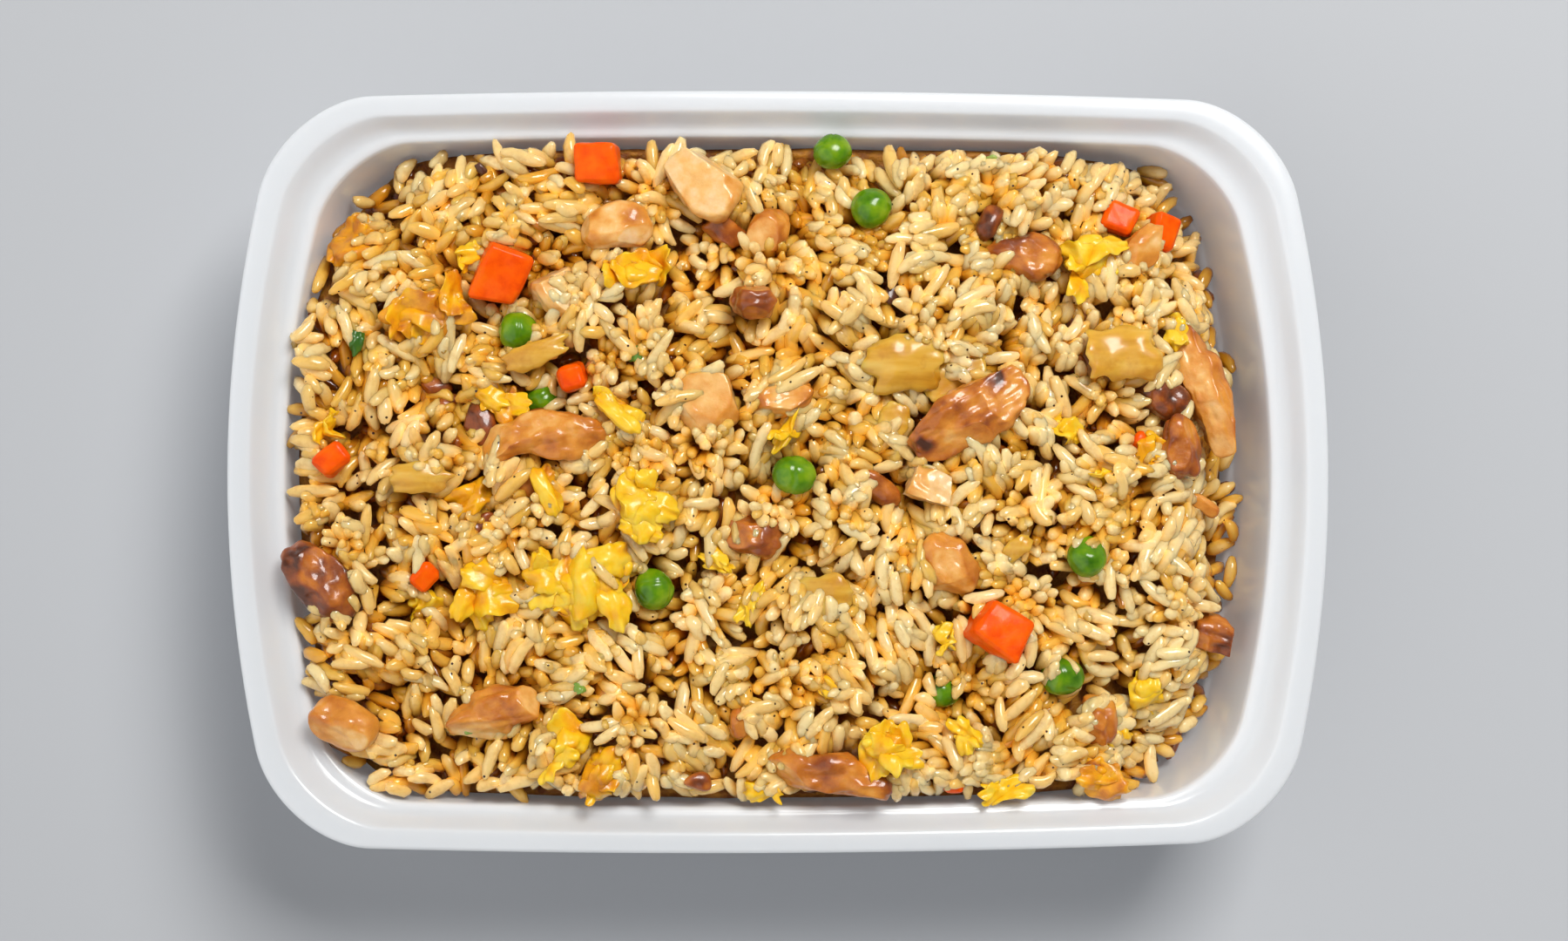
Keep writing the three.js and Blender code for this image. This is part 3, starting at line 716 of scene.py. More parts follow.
for index, name in enumerate(nodes_named("egg")):
    points, outward, faces = refined(name, 0, 3)
    fold = np.abs(cloud(points * [1, 1, 0.6], 3.8, index + 5))
    crimp = np.abs(cloud(points, 1.7, index + 15))
    shrink = 2.2 if index + 1 in ROLLED_EGG else 1.4
    points = points + outward * (2.0 * fold + 0.3 * crimp - shrink)[:, None]
    draws = np.random.default_rng(index + 300)
    spans = np.ptp(points, axis=0)
    middle, ways = own_frame(points)
    flakes = []
    layers = 3 + spans[0] * spans[1] / 40
    for number in range(1 if index + 1 in ROLLED_EGG else int(layers)):
        near = 0.12 if number == 0 else 0.4
        reach = draws.uniform(-near, near, 2) * np.ptp((points - middle) @ ways.T, axis=0)[:2]
        place = middle + reach @ ways[:2] + [0, 0, 0.24 * spans[2] + draws.uniform(-0.4, 0.9)]
        size = draws.uniform(8.0, 12.0) if number else 0.9 * max(spans[:2])
        width = size * draws.uniform(0.45, 0.7)
        along = math.atan2(ways[0, 1], ways[0, 0])
        yaw = along + draws.normal(0, 0.9 if number else 0.2)
        if index + 1 in ROLLED_EGG and number == 0:
            flakes.append(torn_sheet(place, 1.2 * size, 0.42 * size, 0.12, 1.3, 0.1, yaw, draws))
        else:
            flakes.append(torn_sheet(place, size, width, 0.2, 0.38, 0.2, yaw, draws))
    flake_points, flake_faces = joined(flakes, sheet_faces(FLAKE_ALONG, FLAKE_ACROSS))
    faces = faces + [f + len(points) for f in flake_faces]
    points = np.concatenate([points, flake_points])
    piece = add_surface(f"{name}_curd", points, faces, egg_finish)
    # Each curd is also browner low down and in the creases of its lump: painted shade, on top of its
    # browning by the pan.
    low = (points[:, 2].max() - points[:, 2]) / spans[2]
    browning = EGG_BROWNING.get(index + 1, 0.1) + 0.26 * cloud(points, 2.6, index + 25) + 0.12 * low
    browning[: len(fold)] += 0.3 * np.maximum(0, 0.3 - fold) / 0.3
    paint(piece, "browning", np.clip(browning - 0.1, 0.0, 1.0))
    in_place(piece, name)

# Onion. Four pieces, each one layer of the bulb, fried soft and clear, with fine lines from
# root to tip. They lie flat on the rice.

onion_finish, onion_shader = material_with(
    "fried_onion",
    {
        "Roughness": 0.3,
        "Subsurface Weight": 0.6,
        "Subsurface Radius": (1.0, 0.7, 0.3),
        "Subsurface Scale": 0.0025,
        "Coat Weight": 0.35,
        "Coat Roughness": 0.1,
        "Specular IOR Level": 0.35,
    },
)
onion_lines = noise_on(onion_finish, 420.0, 3.0, 0.5, (0.2, 1.0, 0.3))
onion_tint = ramp_of(
    onion_finish,
    onion_lines.outputs["Fac"],
    [(0.25, (0.54, 0.25, 0.012)), (0.5, (0.70, 0.38, 0.04)), (0.75, (0.78, 0.50, 0.10))],
)
onion_scorch = ramp_of(
    onion_finish,
    noise_on(onion_finish, 170.0, 4.0, 0.6).outputs["Fac"],
    [(0.5, (0.0, 0.0, 0.0)), (0.7, (0.7, 0.7, 0.7))],
)
onion_colour = mix_colours(
    onion_finish, onion_scorch.outputs["Color"], onion_tint.outputs["Color"], (0.50, 0.20, 0.012)
)
join(onion_finish, onion_colour, onion_shader.inputs["Base Color"])
add_bump(onion_finish, onion_shader, onion_lines.outputs["Fac"], 0.1, 0.5)

ONION_THICKNESS = 1.5

for index, name in enumerate(nodes_named("onion")):
    rough = refined(name, 0, 1)[0]
    middle, ways = own_frame(rough)
    ways[2] *= math.copysign(1, ways[2, 2])
    ways[1] = np.cross(ways[2], ways[0])
    length, width = np.ptp((rough - middle) @ ways.T, axis=0)[:2]
    draws = np.random.default_rng(index + 703)
    sheet = torn_sheet(np.zeros(3), length, width, 0.06, ONION_THICKNESS / 2, 0.2, 0.0, draws, 0.2)
    sheet[:, 2] += 0.8 - 0.03 * sheet[:, 1] ** 2
    points = middle + sheet @ ways + [0, 0, 0.4]
    faces = sheet_faces(FLAKE_ALONG, FLAKE_ACROSS)
    in_place(add_surface(f"{name}_layer", points, faces, onion_finish), name)

# Rice. Some thousands of long soft grains that lie where they fell: each one is dropped on
# the heap so far, tipped to its slope, and kept if the heap isn't yet full there.

CELL = 0.3
X_CELLS = 694
Y_CELLS = 480
GRID_X = (np.arange(X_CELLS) - (X_CELLS - 1) / 2) * CELL
GRID_Y = (np.arange(Y_CELLS) - (Y_CELLS - 1) / 2) * CELL


def tops_of(tree, xs, ys):
    """Height of a solid's top over each point of a grid, by looking straight down on it, or
    -1 where it isn't under that point."""
    down = Vector((0, 0, -1))
    heights = np.full((len(ys), len(xs)), -1.0)
    for j, y in enumerate(ys):
        for i, x in enumerate(xs):
            hit = tree.ray_cast(Vector((x, y, 90.0)), down)[0]
            if hit:
                heights[j, i] = hit.z
    return heights


def tree_of(thing):
    """The faces of an object, in millimetres, sorted for looking down on them."""
    mesh = thing.data
    corners = [1000.0 * v.co for v in mesh.vertices]
    return BVHTree.FromPolygons(corners, [tuple(p.vertices) for p in mesh.polygons])


def spread_over(xs, ys, values, grid_x, grid_y):
    """Read a coarse grid of values at the points of a finer one, straight in between."""
    px = np.clip((grid_x - xs[0]) / (xs[1] - xs[0]), 0, len(xs) - 1.001)
    py = np.clip((grid_y - ys[0]) / (ys[1] - ys[0]), 0, len(ys) - 1.001)
    i, j = px.astype(int), py.astype(int)
    u, v = (px - i)[None, :], (py - j)[:, None]
    rows, below = values[j], values[j + 1]
    near = rows[:, i] * (1 - u) + rows[:, i + 1] * u
    far = below[:, i] * (1 - u) + below[:, i + 1] * u
    return near * (1 - v) + far * v


def add_reach(heights, pieces):
    """Raise a fine grid of heights to the tops of these pieces, where they are higher."""
    for piece in pieces:
        places = np.empty(3 * len(piece.data.vertices), np.float32)
        piece.data.vertices.foreach_get("co", places)
        places = places.reshape(-1, 3) * 1000.0
        low, high = places.min(axis=0), places.max(axis=0)
        i = np.nonzero((GRID_X > low[0]) & (GRID_X < high[0]))[0]
        j = np.nonzero((GRID_Y > low[1]) & (GRID_Y < high[1]))[0]
        block = np.ix_(j, i)
        heights[block] = np.maximum(heights[block], tops_of(tree_of(piece), GRID_X[i], GRID_Y[j]))


def neighbours_mean(grid, reach):
    """The mean of the four values that lie this many cells from each one."""
    return 0.25 * (
        np.roll(grid, reach, 0) + np.roll(grid, -reach, 0)
        + np.roll(grid, reach, 1) + np.roll(grid, -reach, 1)
    )


def height_at(grid, x, y):
    """Read a fine grid at points, nearest cell."""
    i = np.clip(np.round((x - GRID_X[0]) / CELL).astype(int), 0, X_CELLS - 1)
    j = np.clip(np.round((y - GRID_Y[0]) / CELL).astype(int), 0, Y_CELLS - 1)
    return grid[j, i]


topping_height = np.full((Y_CELLS, X_CELLS), -1.0)
add_reach(topping_height, topping_shapes)

# The heap's level from the CAD solid, with the pockets under the toppings healed over
COARSE = 1.2
coarse_x = np.arange(-103.2, 103.3, COARSE)
coarse_y = np.arange(-70.8, 70.9, COARSE)
solid_top = tops_of(tree_of(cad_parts["fried_rice"]), coarse_x, coarse_y)
inside = solid_top > 0
near_i = np.clip(np.searchsorted(GRID_X, coarse_x), 0, X_CELLS - 1)
near_j = np.clip(np.searchsorted(GRID_Y, coarse_y), 0, Y_CELLS - 1)
widened = topping_height.copy()
for shift in ((3, 0), (-3, 0), (0, 3), (0, -3)):
    widened = np.maximum(widened, np.roll(topping_height, shift, (0, 1)))
covered = widened[np.ix_(near_j, near_i)] > 0
known = inside & ~covered
level = np.where(known, solid_top, np.nan)
level = np.where(known, level, np.nanmean(level))
for _ in range(400):
    level = np.where(known, level, neighbours_mean(level, 1))
level = 0.5 * level + 0.5 * neighbours_mean(level, 1)
full_level = spread_over(coarse_x, coarse_y, level, GRID_X, GRID_Y)
in_tray = spread_over(coarse_x, coarse_y, inside.astype(float), GRID_X, GRID_Y) > 0.6

# Small bits. Crumbs of the same foods between the toppings, and scraps of scallion. Each is
# given by where it lies, its length and width, which way it points in degrees, and a tone.

SMALL_CHICKEN = (
    (-60.4, -11.5, 7.0, 5.8, 20, 0.66), (77.8, 14.8, 11.5, 7.0, -25, 0.72),
    (-11.4, 48.6, 10.5, 6.0, -30, 0.56), (-60.6, 10.1, 10.0, 6.5, 80, 0.70),
    (-52.2, -2.3, 9.0, 7.0, 0, 0.44), (19.6, -3.6, 10.0, 5.0, -35, 0.52),
    (-67.0, 13.6, 5.0, 4.0, 40, 0.62), (87.0, -6.7, 7.0, 3.2, -30, 0.36),
    (59.0, 30.6, 8.5, 5.0, -15, 0.8), (-8.4, -50.8, 6.0, 4.4, 90, 0.42),
    (42.0, 50.0, 7.0, 5.0, 60, 0.72), (-17.0, -62.5, 6.0, 4.0, 10, 0.60),
    (-60.9, 61.4, 3.4, 1.8, -40, 1.2), (-70.0, 17.5, 6.0, 4.0, 0, 0.66),
    (-50.5, 9.0, 8.0, 5.0, 30, 0.60), (22.0, 35.5, 5.0, 3.0, 70, 0.9),
)
SMALL_EGG = (
    (0.4, 7.5, 9.5, 3.4, 35, 0.04), (-3.8, -64.2, 9.0, 5.0, -15, 0.06),
    (11.7, -44.4, 8.0, 5.5, -40, 0.12), (36.6, -53.7, 8.0, 5.0, -60, 0.03),
    (74.3, -45.6, 8.5, 6.5, 70, 0.03), (-86.8, 46.3, 11.0, 8.0, 50, 0.40),
    (45.0, -64.6, 9.5, 4.5, 0, 0.03), (-91.4, 8.3, 6.5, 4.0, 80, 0.14),
    (80.4, 28.3, 6.5, 5.5, 90, 0.0), (57.3, 8.2, 6.5, 4.5, -60, 0.05),
    (73.6, 4.3, 6.5, 4.5, 80, 0.25), (65.1, -1.8, 7.0, 4.5, 60, 0.0),
    (31.9, -34.2, 6.0, 4.5, 80, 0.0), (-61.8, 43.7, 7.0, 4.0, 30, 0.05),
    (-12.8, -17.6, 7.0, 2.8, -50, 0.05), (-6.6, -26.3, 8.0, 4.0, 45, 0.0),
    (-71.4, -28.1, 8.0, 5.0, 60, 0.05), (68.7, -54.3, 6.0, 4.5, 0, 0.05),
    (-62.0, -4.6, 11.0, 5.0, 15, 0.28), (-95.6, 23.0, 4.5, 3.5, 0, 0.1),
)
SMALL_ONION = (
    (34.5, 19.0, 15.0, 8.0, 30, 0.8), (7.7, -25.5, 12.5, 9.0, 10, 0.5),
    (22.3, 9.6, 8.0, 6.0, 70, 0.6), (46.8, -15.8, 7.0, 4.0, 40, 0.9),
)
SMALL_CARROT = ((34.5, -62.8, 5.0, 4.4, 80, 0.0), (72.4, 5.4, 4.5, 3.5, 70, 0.0))
SCALLION = (
    (-29.0, 23.4, 4.6, 3.4, 0, 0.4), (42.4, 61.7, 4.6, 4.0, 40, 0.8),
    (-62.7, -50.8, 5.0, 3.6, -20, 0.7), (-85.4, 38.1, 6.5, 3.0, 10, 0.2),
    (-85.4, 26.2, 5.5, 3.0, 80, 0.1), (-40.0, -43.0, 4.0, 3.0, 50, 0.6),
)

scallion_finish, scallion_shader = material_with(
    "fried_scallion",
    {"Roughness": 0.3, "Subsurface Weight": 0.3, "Subsurface Scale": 0.001, "Coat Weight": 0.2},
)
scallion_tint = ramp_of(
    scallion_finish,
    reading(scallion_finish, "browning"),
    [(0.0, (0.03, 0.12, 0.01)), (0.5, (0.12, 0.27, 0.02)), (1.0, (0.42, 0.52, 0.12))],
)
join(scallion_finish, scallion_tint.outputs["Color"], scallion_shader.inputs["Base Color"])


LUMP_RINGS = 18
LUMP_SIDES = 26


def small_lump(x, y, z, length, width, yaw, seed):
    """A crumb of meat or root: a rounded box, each half side times the sine or cosine of the
    latitude and longitude to the power 0.8, with a soft random field on it and a few cuts."""
    latitude = np.pi * (np.arange(1, LUMP_RINGS + 1) / (LUMP_RINGS + 1) - 0.5)
    longitude = np.arange(LUMP_SIDES) * 2 * np.pi / LUMP_SIDES
    lat, lon = np.meshgrid(latitude, longitude, indexing="ij")
    across = np.stack([np.cos(lat) * np.cos(lon), np.cos(lat) * np.sin(lon), np.sin(lat)], -1)
    unit = np.concatenate([[[0, 0, -1]], across.reshape(-1, 3), [[0, 0, 1]]])
    shaped = np.sign(unit) * np.abs(unit) ** 0.8 * [length / 2, width / 2, width * 0.4]
    shaped = shaped * (1 + 0.32 * cloud(shaped + seed, 2.6, seed))[:, None]
    shaped, cut = with_cut_faces(shaped, 6, 0.7, seed)
    return shaped @ turned(math.radians(yaw), 0.2, 0.1).T + [x, y, z], cut


def scatter_lumps(name, table, sink, finish, first_seed):
    """One piece of many crumbs, each sunk this far below the heap's level."""
    shapes, tones = [], []
    for number, (x, y, length, width, yaw, tone) in enumerate(table):
        z = height_at(full_level, x, y) - sink
        points, cut = small_lump(x, y, z, length, width, yaw, first_seed + number)
        shapes.append(points)
        tones.append(tone + 0.12 * cloud(points, 1.6, first_seed) - 0.1 * cut)
    points, faces = joined(shapes, closed_by_poles(LUMP_RINGS, LUMP_SIDES))
    return scattered(add_surface(name, points, faces, finish), tones)


def scatter_sheets(name, table, layers, fold, half, ragged, finish, first_seed):
    """One piece of many torn sheets, a few on one another at each place."""
    draws = np.random.default_rng(first_seed)
    shapes, tones = [], []
    for x, y, length, width, yaw, tone in table:
        for layer in range(layers):
            place = np.array([x, y, height_at(full_level, x, y) + 1.6])
            place += draws.normal(0, 0.6, 3) * min(layer, 1) * [1, 1, 0.6]
            way = math.radians(yaw) + 0.5 * layer
            shapes.append(torn_sheet(place, length, width, fold, half, ragged, way, draws))
            tones.append(tone + 0.12 * cloud(shapes[-1], 1.6, first_seed))
    points, faces = joined(shapes, sheet_faces(FLAKE_ALONG, FLAKE_ACROSS))
    return scattered(add_surface(name, points, faces, finish), tones)


def scattered(piece, tones):
    """Finish a piece of small bits. Scallion has no slot of its own in the record."""
    paint(piece, "browning", np.clip(np.concatenate(tones), 0.0, 1.0))
    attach(piece, "root")
    return piece


small_bits = [
    scatter_lumps("chicken_crumbs", SMALL_CHICKEN, 0.2, chicken_finish, 500),
    scatter_lumps("carrot_crumbs", SMALL_CARROT, 0.0, carrot_finish, 540),
    scatter_sheets("egg_shreds", SMALL_EGG, 2, 0.3, 0.5, 0.28, egg_finish, 560),
    scatter_sheets("onion_shreds", SMALL_ONION, 1, 0.07, 0.6, 0.12, onion_finish, 580),
    scatter_sheets("scallion_bits", SCALLION, 1, 0.2, 0.3, 0.2, scallion_finish, 590),
]
add_reach(topping_height, small_bits)

# The imported rice under the loose grains: one closed uneven lump that fills the tray, painted
# dark brown as shade deep in the gaps. It ends this far below the heap's level in the middle, and by
# the wall.
UNDER = 8.5
UNDER_BY_WALL = 3.0
CORE_GAP = 0.5

core_shade_finish, core_shader = material_with(
    "packed_rice", {"Roughness": 0.6, "Subsurface Weight": 0.1, "Subsurface Scale": 0.001}
)
core_relief = noise_on(core_shade_finish, 320.0, 4.0, 0.6).outputs["Fac"]
# Painted shade: the dark brown of rice deep in the shadow between the grains.
core_shade_tint = ramp_of(
    core_shade_finish, core_relief, [(0.35, (0.20, 0.05, 0.001)), (0.6, (0.52, 0.21, 0.01))]
)
join(core_shade_finish, core_shade_tint.outputs["Color"], core_shader.inputs["Base Color"])
add_bump(core_shade_finish, core_shader, core_relief, 1.6, 0.8)

by_wall = 1.0 - in_tray
for _ in range(30):
    by_wall = neighbours_mean(by_wall, 2)
base_grid = full_level - UNDER + (UNDER - UNDER_BY_WALL) * np.clip(2 * by_wall, 0, 1)

wall = INSIDE_PROFILE[:6]
wall_x, wall_y = tray_outline(wall[:, 0] + CORE_GAP, wall[:, 1] + CORE_GAP)
wall_z = np.repeat(wall[:, 2:] + CORE_GAP, wall_x.shape[1], axis=1)

# Where the rice is lower than the wall, its side stops there, and stays on the wall's taper
low_z = np.minimum(wall_z, height_at(base_grid, wall_x, wall_y).min(axis=0) - 0.2)
for column in range(wall_x.shape[1]):
    levels = wall_z[:, column]
    wall_x[:, column] = np.interp(low_z[:, column], levels, wall_x[:, column])
    wall_y[:, column] = np.interp(low_z[:, column], levels, wall_y[:, column])
wall_z = low_z
shares = np.linspace(1, 0, 60)[1:-1, None]
top_x, top_y = wall_x[-1] * shares, wall_y[-1] * shares
top_z = np.maximum(height_at(base_grid, top_x, top_y), wall_z[-1])
core_x = np.concatenate([wall_x, top_x])
core_y = np.concatenate([wall_y, top_y])
core_z = np.concatenate([wall_z, top_z])
rings = np.stack([core_x, core_y, core_z], -1)
flat = rings.reshape(-1, 3)
core_points = np.concatenate([[[0, 0, core_z[0, 0]]], flat, [[0, 0, top_z[-1].mean()]]])
core = add_surface("rice_core", core_points, closed_by_poles(*core_x.shape), core_shade_finish)
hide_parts("fried_rice")
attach(core, "root")

# The loose grains. They stick together in small clumps. In most clumps they lie side by side,
# and in some they stand on end and lean outwards, as in a bunch of flowers.
GRAIN_LENGTH = 9.4
GRAIN_WIDTH = 2.75
GRAIN_DEPTH = 2.4
DROPS = 19000
TRIES = 2
SINK = 0.7
WINDOW = 21
CLUMP_SPACING = 13.5
STANDING_SHARE = 0.2
LEDGE_LEVEL = RIM_LEVEL - 4.7
NO_RICE = 200.0
HIGHEST = 100.0

random = np.random.default_rng(7)
wall_height = tops_of(tree_of(tray), coarse_x, coarse_y)
wall_height = spread_over(coarse_x, coarse_y, wall_height, GRID_X, GRID_Y)
heap = np.where(in_tray, np.maximum(base_grid, wall_height), wall_height)
heap = np.where(wall_height < LEDGE_LEVEL, heap, NO_RICE)

# The toppings round in below their edges, so grains reach a little way in there
narrowed = topping_height.copy()
for shift_x, shift_y in ((5, 0), (-5, 0), (0, 5), (0, -5), (4, 4), (-4, 4), (4, -4), (-4, -4)):
    narrowed = np.minimum(narrowed, np.roll(topping_height, (shift_x, shift_y), (0, 1)))
heap = np.maximum(heap, narrowed)

# Close to the tray's wall, where a grain that sank deeper would come through it
by_tray = wall_height > base_grid - 0.5
for _ in range(3):
    for axis in (0, 1):
        by_tray = by_tray | np.roll(by_tray, 4, axis) | np.roll(by_tray, -4, axis)
beside_heap = ~in_tray
in_tray = heap < HIGHEST
step = np.arange(-WINDOW, WINDOW + 1) * CELL
step_x, step_y = np.meshgrid(step, step)


def field_over_tray(size, seed):
    """A soft random field from -1 to 1 over the whole fine grid."""
    x, y = np.meshgrid(GRID_X, GRID_Y)
    flat_grid = np.stack([x.ravel(), y.ravel(), np.zeros(x.size)], -1)
    return cloud(flat_grid, size, seed).reshape(Y_CELLS, X_CELLS)


def nearest_clump(draws):
    """Clump centres are the points of a lattice, each moved at random. For every cell of the
    fine grid: the number of the nearest one, and the way to the cell from it."""
    columns = int(X_CELLS * CELL / CLUMP_SPACING) + 4
    rows = int(Y_CELLS * CELL / CLUMP_SPACING) + 4
    grid_i, grid_j = np.meshgrid(np.arange(columns), np.arange(rows))
    moved = draws.uniform(-0.42, 0.42, (2, rows, columns))
    centre_x = GRID_X[0] + (grid_i - 1.5 + moved[0]) * CLUMP_SPACING
    centre_y = GRID_Y[0] + (grid_j - 1.5 + moved[1]) * CLUMP_SPACING
    x, y = np.meshgrid(GRID_X, GRID_Y)
    own_i = ((x - GRID_X[0]) / CLUMP_SPACING + 1.5).astype(int)
    own_j = ((y - GRID_Y[0]) / CLUMP_SPACING + 1.5).astype(int)
    nearest = np.full(x.shape, 1e9)
    number = np.zeros(x.shape, int)
    away_x = np.zeros(x.shape)
    away_y = np.zeros(x.shape)
    for di, dj in np.ndindex(3, 3):
        i = np.clip(own_i + di - 1, 0, columns - 1)
        j = np.clip(own_j + dj - 1, 0, rows - 1)
        dx = x - centre_x[j, i]
        dy = y - centre_y[j, i]
        far = np.hypot(dx, dy)
        closer = far < nearest
        nearest = np.where(closer, far, nearest)
        number = np.where(closer, j * columns + i, number)
        away_x = np.where(closer, dx, away_x)
        away_y = np.where(closer, dy, away_y)
    return number, away_x, away_y, rows * columns


clump, clump_x, clump_y, clump_count = nearest_clump(random)
clump_yaw = random.uniform(0, np.pi, clump_count)
clump_lift = random.normal(0, 1.4, clump_count)
clump_tilt = random.normal(0, 0.35, clump_count)
clump_stands = random.random(clump_count) < STANDING_SHARE
dome = 2.4 - 8.0 * (np.hypot(clump_x, clump_y) / CLUMP_SPACING) ** 2
relief = clump_lift[clump] + dome + 0.9 * field_over_tray(4.5, 79)
ceiling = full_level + 1.1 + np.clip(relief, -5.2, 3.4)
ceiling -= 1.5 * beside_heap

# More rice or less against the toppings: grains lie over some edges and leave others free
by_topping = (topping_height > 0).astype(float)
for _ in range(24):
    by_topping = neighbours_mean(by_topping, 2)
ceiling += np.minimum(1, 2.5 * by_topping) * (0.4 + 3.0 * field_over_tray(7.0, 83))
for pea in pea_skins:
    pea_x, pea_y = 1000.0 * np.array([v.co[:2] for v in pea.data.vertices]).mean(axis=0)
    away = np.hypot(GRID_X[None, :] - pea_x, GRID_Y[:, None] - pea_y)
    ceiling -= 2.2 * np.clip(2.0 - away / 5.0, 0, 1)

grain_frames = []
grain_centres = []
grain_sizes = []


def lens_heights(turn, half):
    """Lower and upper surface of a turned ellipsoid over the window: the two roots z of
    p M p = 1, where M is the turned matrix of one over each half size squared."""
    m = turn @ np.diag(1 / half**2) @ turn.T
    b = m[0, 2] * step_x + m[1, 2] * step_y
    c = m[0, 0] * step_x**2 + 2 * m[0, 1] * step_x * step_y + m[1, 1] * step_y**2 - 1
    under_root = b * b - m[2, 2] * c
    covers = under_root > 0
    root = np.sqrt(np.where(covers, under_root, 0))
    return covers, (-b - root) / m[2, 2], (-b + root) / m[2, 2]


def grain_turn(i, j):
    """Which way a grain points that falls on this cell: mostly as its clump does."""
    own = clump[j, i]
    if random.random() < 0.2:
        yaw = random.uniform(0, 2 * np.pi)
        rise = random.normal(0, 0.5)
    elif clump_stands[own]:
        lean_x = clump_x[j, i] * 0.2 + random.normal(0, 0.3)
        lean_y = clump_y[j, i] * 0.2 + random.normal(0, 0.3)
        yaw = math.atan2(lean_y, lean_x)
        rise = 1 / max(0.1, math.hypot(lean_x, lean_y))
    else:
        yaw = clump_yaw[own] + random.normal(0, 0.4)
        rise = clump_tilt[own] + random.normal(0, 0.25)
    reach = int(2.6 / CELL)
    dx = int(round(reach * math.cos(yaw)))
    dy = int(round(reach * math.sin(yaw)))
    slope = (heap[j + dy, i + dx] - heap[j - dy, i - dx]) / 5.2
    cross = (heap[j + dx // 2, i - dy // 2] - heap[j - dx // 2, i + dy // 2]) / 2.6
    pitch = -math.atan(min(max(slope, -0.7), 0.7) + rise)
    return turned(yaw, pitch, math.atan(min(max(cross, -0.6), 0.6)))


# Each drop looks for the emptiest of ten places and tries a grain near it a few times. The
# best one stays where it adds to the heap without rising far past the ceiling.
for _ in range(DROPS):
    some_i = random.integers(WINDOW + 6, X_CELLS - WINDOW - 6, 10)
    some_j = random.integers(WINDOW + 6, Y_CELLS - WINDOW - 6, 10)
    emptiest = np.argmax((ceiling - heap)[some_j, some_i])
    i0, j0 = some_i[emptiest], some_j[emptiest]
    if not in_tray[j0, i0]:
        continue
    half = 0.5 * np.array([GRAIN_LENGTH, GRAIN_WIDTH, GRAIN_DEPTH])
    half[0] *= random.choice([1.0, 1.0, 0.66]) * random.uniform(0.76, 1.18)
    half[1:] *= random.uniform(0.88, 1.12, 2)
    best = None
    for _ in range(TRIES):
        i = i0 + int(random.integers(-3, 4))
        j = j0 + int(random.integers(-3, 4))
        turn = grain_turn(i, j)
        covers, lower, upper = lens_heights(turn, half)
        window = heap[j - WINDOW : j + WINDOW + 1, i - WINDOW : i + WINDOW + 1]
        above = np.max(np.where(covers, window - lower, -1e3))
        needed = above + upper[covers].max() - ceiling[j, i]
        deeper = 0.0 if by_tray[j, i] else 0.7 + 5.5 * turn[2, 0] ** 2
        rest = above - min(max(needed, SINK), SINK + deeper)
        spare = ceiling[j, i] - (rest + upper[covers].max())
        gain = np.max(np.where(covers, rest + upper - window, -1e3))
        worth = min(gain, 1.0) + min(spare, 0.0)
        if best is None or worth > best[0]:
            best = (worth, spare, i, j, rest, turn, covers, upper)
    worth, spare, i, j, rest, turn, covers, upper = best
    if spare < (-1.8 if random.random() < 0.04 else -0.05) or worth < 0.8 or rest > HIGHEST:
        continue
    window = heap[j - WINDOW : j + WINDOW + 1, i - WINDOW : i + WINDOW + 1]
    window[covers] = np.maximum(window[covers], (rest + upper)[covers])
    grain_frames.append(turn)
    grain_centres.append((GRID_X[i], GRID_Y[j], rest))
    grain_sizes.append(half)

grain_frames = np.array(grain_frames)
grain_centres = np.array(grain_centres)
grain_sizes = np.array(grain_sizes)

# Each grain is a closed skin of eight sides and five rings: its half width at the share t of
# its half length is (1 - |t| ** 3.2) ** 0.5. It bends a little two ways along its length, and
# each point is moved a little.
RING_PLACES = np.array([-0.9, -0.5, 0.0, 0.5, 0.9])
RINGS = len(RING_PLACES)
SIDES = 8


def grain_points(frames, centres, sizes, draws):
    """Points of many grains at once, one row of them to a grain."""
    count = len(sizes)
    along = np.concatenate([[-1.0], np.repeat(RING_PLACES, SIDES), [1.0]])
    girth = np.concatenate([[0.0], np.repeat((1 - np.abs(RING_PLACES) ** 3.2) ** 0.5, SIDES), [0.0]])
    angle = np.concatenate([[0.0], np.tile(np.arange(SIDES) * 2 * np.pi / SIDES, RINGS), [0.0]])
    taper = 1 + 0.16 * draws.uniform(-1, 1, (count, 1)) * along
    local = np.empty((count, len(along), 3))
    local[:, :, 0] = along * sizes[:, :1]
    local[:, :, 1] = girth * np.cos(angle) * sizes[:, 1:2] * taper
    local[:, :, 2] = girth * np.sin(angle) * sizes[:, 2:3] * taper
    bend = draws.normal(0, 0.5, (count, 2))
    local[:, :, 1] += bend[:, :1] * (along**2 - 0.4)
    local[:, :, 2] += 0.5 * bend[:, 1:] * (along**2 - 0.4)
    local += draws.normal(0, 0.075, local.shape)
    return np.einsum("nij,nkj->nki", frames, local) + centres[:, None, :]


def grain_faces(count):
    """Face arrays for that many grains in one mesh."""
    offsets = np.arange(count) * (RINGS * SIDES + 2)
    return [
        (f[None] + offsets[:, None, None]).reshape(-1, f.shape[1])
        for f in closed_by_poles(RINGS, SIDES)
    ]


rice_finish, rice_shader = material_with(
    "fried_rice_grain",
    {
        "Roughness": 0.3,
        "Subsurface Weight": 1.0,
        "Subsurface Radius": (1.0, 0.7, 0.4),
        "Subsurface Scale": 0.0035,
        "Coat Weight": 1.0,
        "Coat Roughness": 0.09,
        "Specular IOR Level": 0.1,
    },
)
rice_shader.subsurface_method = "BURLEY"
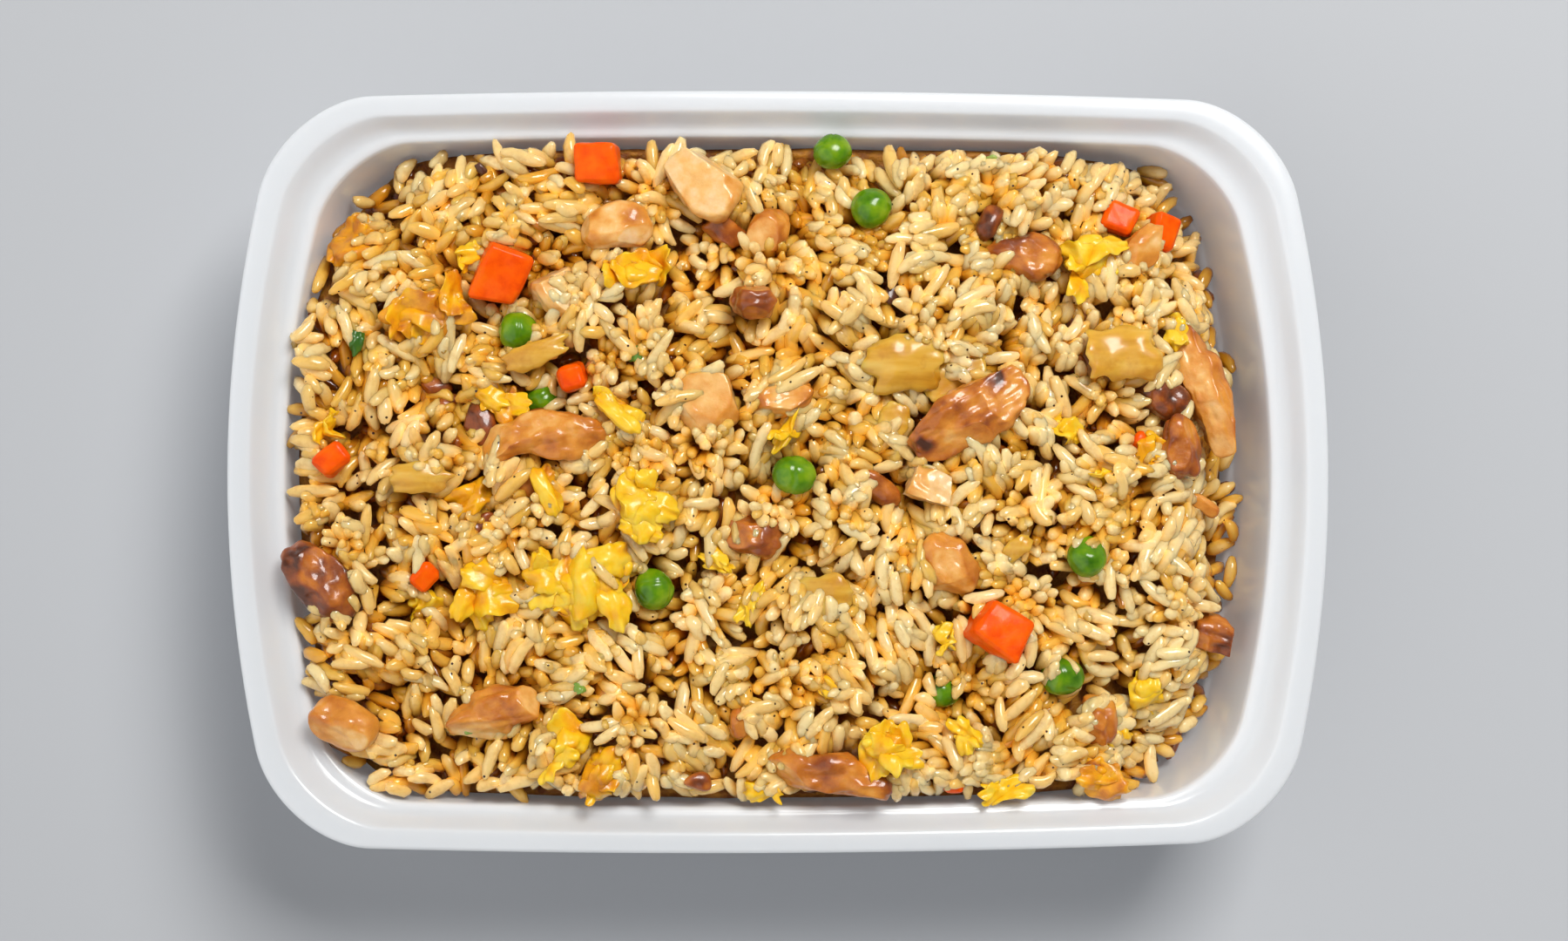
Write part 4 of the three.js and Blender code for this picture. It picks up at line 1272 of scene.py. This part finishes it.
# The grains' tone runs from dark brown, which stands for painted shade deep in the heap, to pale
# cream.
rice_tone_and_shade = ramp_of(
    rice_finish,
    reading(rice_finish, "tone"),
    [
        (0.0, (0.24, 0.05, 0.001)),
        (0.3, (0.60, 0.25, 0.011)),
        (0.62, (0.79, 0.44, 0.062)),
        (1.0, (0.85, 0.65, 0.30)),
    ],
)
rice_stain = ramp_of(
    rice_finish,
    noise_on(rice_finish, 520.0, 4.0, 0.6).outputs["Fac"],
    [(0.5, (0.0, 0.0, 0.0)), (0.72, (1.0, 1.0, 1.0))],
)
stain_share = worked_out(rice_finish, "MULTIPLY", rice_stain.outputs["Color"], 0.4)
rice_colour = mix_colours(
    rice_finish, stain_share, rice_tone_and_shade.outputs["Color"], (0.56, 0.24, 0.03)
)

# Ground pepper: a small dark dot in about one cell out of nine
pepper_place = node(rice_finish, "ShaderNodeTexCoord")
pepper = node(rice_finish, "ShaderNodeTexVoronoi", inputs={"Scale": 620.0})
join(rice_finish, pepper_place.outputs["Object"], pepper.inputs["Vector"])
pepper_near = worked_out(rice_finish, "LESS_THAN", pepper.outputs["Distance"], 0.17)
pepper_draw = node(rice_finish, "ShaderNodeSeparateColor")
join(rice_finish, pepper.outputs["Color"], pepper_draw.inputs["Color"])
pepper_pick = worked_out(rice_finish, "GREATER_THAN", pepper_draw.outputs["Red"], 0.89)
pepper_here = worked_out(rice_finish, "MULTIPLY", pepper_near, pepper_pick)
rice_colour = mix_colours(rice_finish, pepper_here, rice_colour, (0.06, 0.02, 0.006))
join(rice_finish, rice_colour, rice_shader.inputs["Base Color"])
add_bump(
    rice_finish, rice_shader, noise_on(rice_finish, 700.0, 2.0).outputs["Fac"], 0.12, 0.5
)

BATCH = 1500
draws = np.random.default_rng(21)
all_points = grain_points(grain_frames, grain_centres, grain_sizes, draws)
tones = draws.normal(0.68, 0.11, len(all_points)) + 0.09 * cloud(grain_centres, 11.0, 97)
# Grains lower in the heap, and the lower side of each grain, take a darker and browner tone: painted
# shade in the gaps between grains. The tone is also a little paler towards the right.
heap_level = np.where(in_tray, heap, full_level)
for _ in range(12):
    heap_level = neighbours_mean(heap_level, 3)
heap_level = np.minimum(heap_level, full_level + 3.0)
depth = height_at(heap_level, all_points[:, :, 0], all_points[:, :, 1]) - all_points[:, :, 2]
shade_depth = 0.5 * depth.mean(axis=1, keepdims=True) + 0.5 * depth
tones = tones[:, None] + 0.0008 * all_points[:, :, 0] - 0.26 * np.clip(shade_depth - 0.5, -0.7, 5.0)
tones = np.clip(tones, 0, 1)
for batch, start in enumerate(range(0, len(all_points), BATCH)):
    chosen = all_points[start : start + BATCH]
    name = f"rice_grains_{batch + 1}"
    grains = add_surface(name, chosen.reshape(-1, 3), grain_faces(len(chosen)), rice_finish)
    paint(grains, "tone", tones[start : start + BATCH].ravel())
    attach(grains, "root")
